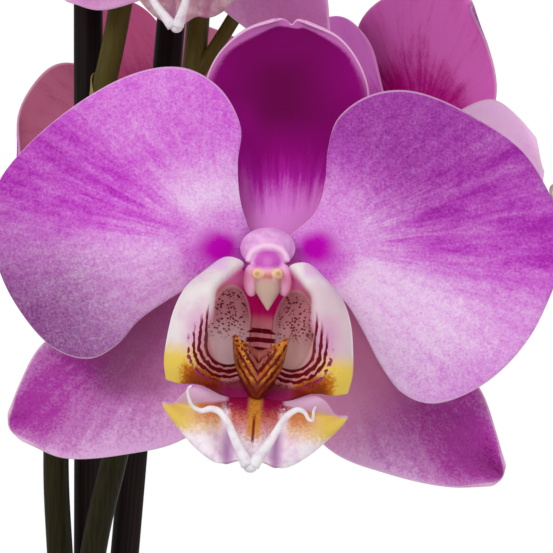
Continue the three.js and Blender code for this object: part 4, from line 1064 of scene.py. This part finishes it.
for n, bloom in enumerate(blooms, 1):
    fine = n == 1
    cup_piece = laid(f"lip_cup_{n}", *((64, 44) if fine else (30, 22)), woven(both_halves(cup), bloom))
    lobe_piece = laid(f"lip_middle_{n}", *((48, 30) if fine else (24, 14)), woven(both_halves(middle_lobe), bloom))
    crest_piece = laid(f"lip_callus_{n}", *((24, 18) if fine else (12, 9)), woven(both_halves(callus), bloom))
    curls = []
    for k, path in enumerate(tendrils):
        local = even(path, 60 if fine else 30)
        width = lambda u, v: 1.3 - 1.1 * v**0.6 + 0.1 * np.exp(-((v - 0.6) / 0.1) ** 2)
        line = framed(bloom, local @ lip_roll.T)
        curls.append(laid(f"lip_tendril_{n}_{k}", 10, len(line) - 1, tube(line, width), closed=True))
    thickened(cup_piece, 0.9, back=-1)
    thickened(lobe_piece, 0.8)
    thickened(crest_piece, 1.1)
    curls.append(lump(f"lip_apex_{n}", (0, -38.2, 25.6), (1.3, 1.2, 1.4), bloom, 10, lip_roll))
    for piece, material in zip((cup_piece, lobe_piece, crest_piece, *curls),
                               (cup_material, wing_material, crest_material) + (thread_material,) * 3):
        lip_noted(piece, bloom)
        piece.data.materials.append(material)
    settle(one_piece(f"lip_of_bloom_{n}", [cup_piece, lobe_piece, crest_piece] + curls), None, "lip", f"bloom_{n}_lip")


# Column. The fleshy knob over the throat: a hood round a hollow, whose depth is painted as darker purple shade, the
# cream cap over the pollen with its two lumps, a wing on each side, and a pointed beak.

flesh = Paint("column_skin", specular_ior_level=0.2, subsurface_weight=0.2, subsurface_scale=0.002)
x, y, z, at = flesh.marked("flower")
rosy = flesh.cloud(at, 0.5, 3, 0.6)
side = x.sum("ABSOLUTE")
skin = flesh.mix(dye(226, 158, 222), dye(242, 190, 236), rosy.over(0.35, 0.7))
skin = flesh.mix(skin, dye(206, 92, 204), z.over(3.5, 0.5))
arch = ((x / 3.5) ** 2 + ((y + 2.2) / 3.0) ** 2) ** 0.5
skin = flesh.mix(skin, dye(250, 214, 240), arch.near(1.0, 0.26) * y.over(-3, -1.5) * z.over(4, 6))
# Painted shade: darker purple inside the hood's arch, for the depth of the hollow.
skin = flesh.mix(skin, dye(208, 96, 200), arch.over(0.85, 0.55) * z.over(4, 6))
skin = flesh.mix(skin, dye(226, 134, 216), arch.over(0.4, 0.1) * z.over(4, 6) * 0.7)
skin = flesh.mix(skin, dye(255, 186, 222), y.over(-2.6, -4.2))
skin = flesh.mix(skin, dye(206, 178, 164), y.over(-5.0, -6.2) * (side - (y + 6) * 0.05).over(2.7, 2.2))
skin = flesh.mix(skin, dye(206, 134, 104), side.over(1.6, 0.6) * y.near(-4.9, 1.5) * 0.85)
bump_reach = ((side - 1.9) ** 2 + (y + 4.4) ** 2) ** 0.5
skin = flesh.mix(skin, dye(240, 208, 170), bump_reach.over(1.35, 1.0) * z.over(9, 10))
skin = flesh.mix(skin, dye(206, 148, 100), bump_reach.over(0.62, 0.25) * z.over(9, 10) * 0.8)
column_material = flesh.done(skin, 0.5 + rosy * 0.1, rosy, 0.1, 0.4)
for n, bloom in enumerate(blooms, 1):
    parts = [
        lump("hub", (0, 0, -1), (2.25, 2.25, 5), bloom), lump("dome", (0, 0.3, 4.4), (5.1, 3.8, 4.2), bloom),
        lump("hollow", (0, -2.3, 7.0), (3.1, 2.6, 1.7), bloom), lump("cap", (0, -4.4, 8.8), (2.3, 1.6, 2.4), bloom),
    ]
    for s in (-1, 1):
        parts.append(lump("wing", (3.0 * s, -5.6, 8.2), (1.45, 3.0, 1.2), bloom))
        parts.append(lump("pollen_lump", (1.9 * s, -4.4, 10.6), (1.05, 1.05, 1.0), bloom))
    arc = [(3.5 * math.cos(a), -2.2 + 3.0 * math.sin(a), 7.6) for a in np.linspace(-0.1, math.pi + 0.1, 9)]
    parts.append(rod("hood_rim", framed(bloom, np.array(arc)), lambda u, v: 0.7 * bloom["size"] + u * 0, 12, 30))

    def beak(u, v, bloom=bloom):
        wide = np.interp(v, [0, 0.08, 0.45, 1], [1.6, 2.5, 2.2, 0.05])
        deep = np.interp(v, [0, 0.08, 0.45, 1], [1.0, 1.6, 1.2, 0.05])
        angle = 2 * math.pi * u
        local = np.stack([wide * np.cos(angle), -4.9 - 6.4 * v, 9.2 + 0.5 * v + deep * np.sin(angle)], axis=1)
        return framed(bloom, local).T

    parts.append(laid("beak", 24, 24, beak, closed=True))
    column = one_piece(f"column_of_bloom_{n}", parts)
    finished(column, "REMESH", mode="VOXEL", voxel_size=0.0002 if n == 1 else 0.0004, use_smooth_shade=True)
    finished(column, "SMOOTH", factor=0.5, iterations=3)
    local = (spots(column) - bloom["at"]) @ bloom["facing"] / bloom["size"]
    noted(column, "flower", *local.T)
    settle(column, column_material, "column", f"bloom_{n}_column")


# Floor and light. A plain pale floor and soft white light from all round, with a large lamp over the
# viewer's left shoulder and a weaker one behind. The camera looks at the front bloom from straight ahead.

bpy.ops.mesh.primitive_plane_add(size=1.8)
floor = bpy.context.active_object
floor.name = "studio_floor"
paper = Paint("studio_paper", specular_ior_level=0.2)
x, y, z, at = paper.place()
floor.data.materials.append(paper.done(paper.mix(dye(232, 231, 229), dye(240, 239, 237), paper.cloud(at, 0.01, 2)), 0.9))

world = bpy.data.worlds.new("studio")
bpy.context.scene.world = world
world.use_nodes = True
sky = world.node_tree.nodes["Background"]
sky.inputs["Color"].default_value = (1, 1, 1, 1)
sky.inputs["Strength"].default_value = 0.55
seen = world.node_tree.nodes.new("ShaderNodeBackground")
seen.inputs["Color"].default_value = (1, 1, 1, 1)
seen.inputs["Strength"].default_value = 1.0
rays = world.node_tree.nodes.new("ShaderNodeLightPath")
choice = world.node_tree.nodes.new("ShaderNodeMixShader")
world.node_tree.links.new(rays.outputs["Is Camera Ray"], choice.inputs[0])
world.node_tree.links.new(sky.outputs[0], choice.inputs[1])
world.node_tree.links.new(seen.outputs[0], choice.inputs[2])
world.node_tree.links.new(choice.outputs[0], world.node_tree.nodes["World Output"].inputs[0])

for name, at, power, wide in (("key", (-0.55, -1.0, 1.15), 7.0, 0.7), ("fill", (0.9, -0.8, 0.5), 2.0, 0.9),
                             ("back", (0.4, 1.2, 1.2), 2.5, 0.9)):
    lamp = bpy.data.lights.new(name, "AREA")
    lamp.energy, lamp.size = power, wide
    holder = bpy.data.objects.new(name, lamp)
    bpy.context.scene.collection.objects.link(holder)
    holder.location = at
    holder.rotation_euler = (Vector((0.03, -0.06, 0.43)) - Vector(at)).to_track_quat("-Z", "Y").to_euler()

eye = bpy.data.objects.new("eye", bpy.data.cameras.new("eye"))
bpy.context.scene.collection.objects.link(eye)
eye.location = (0.034, -0.549, 0.430)
eye.rotation_euler = (math.pi / 2, 0, 0)
eye.data.angle = 2 * math.atan(51.15 / 480)
eye.data.clip_start = 0.02
bpy.context.scene.camera = eye
bpy.context.scene.view_settings.view_transform = "Standard"
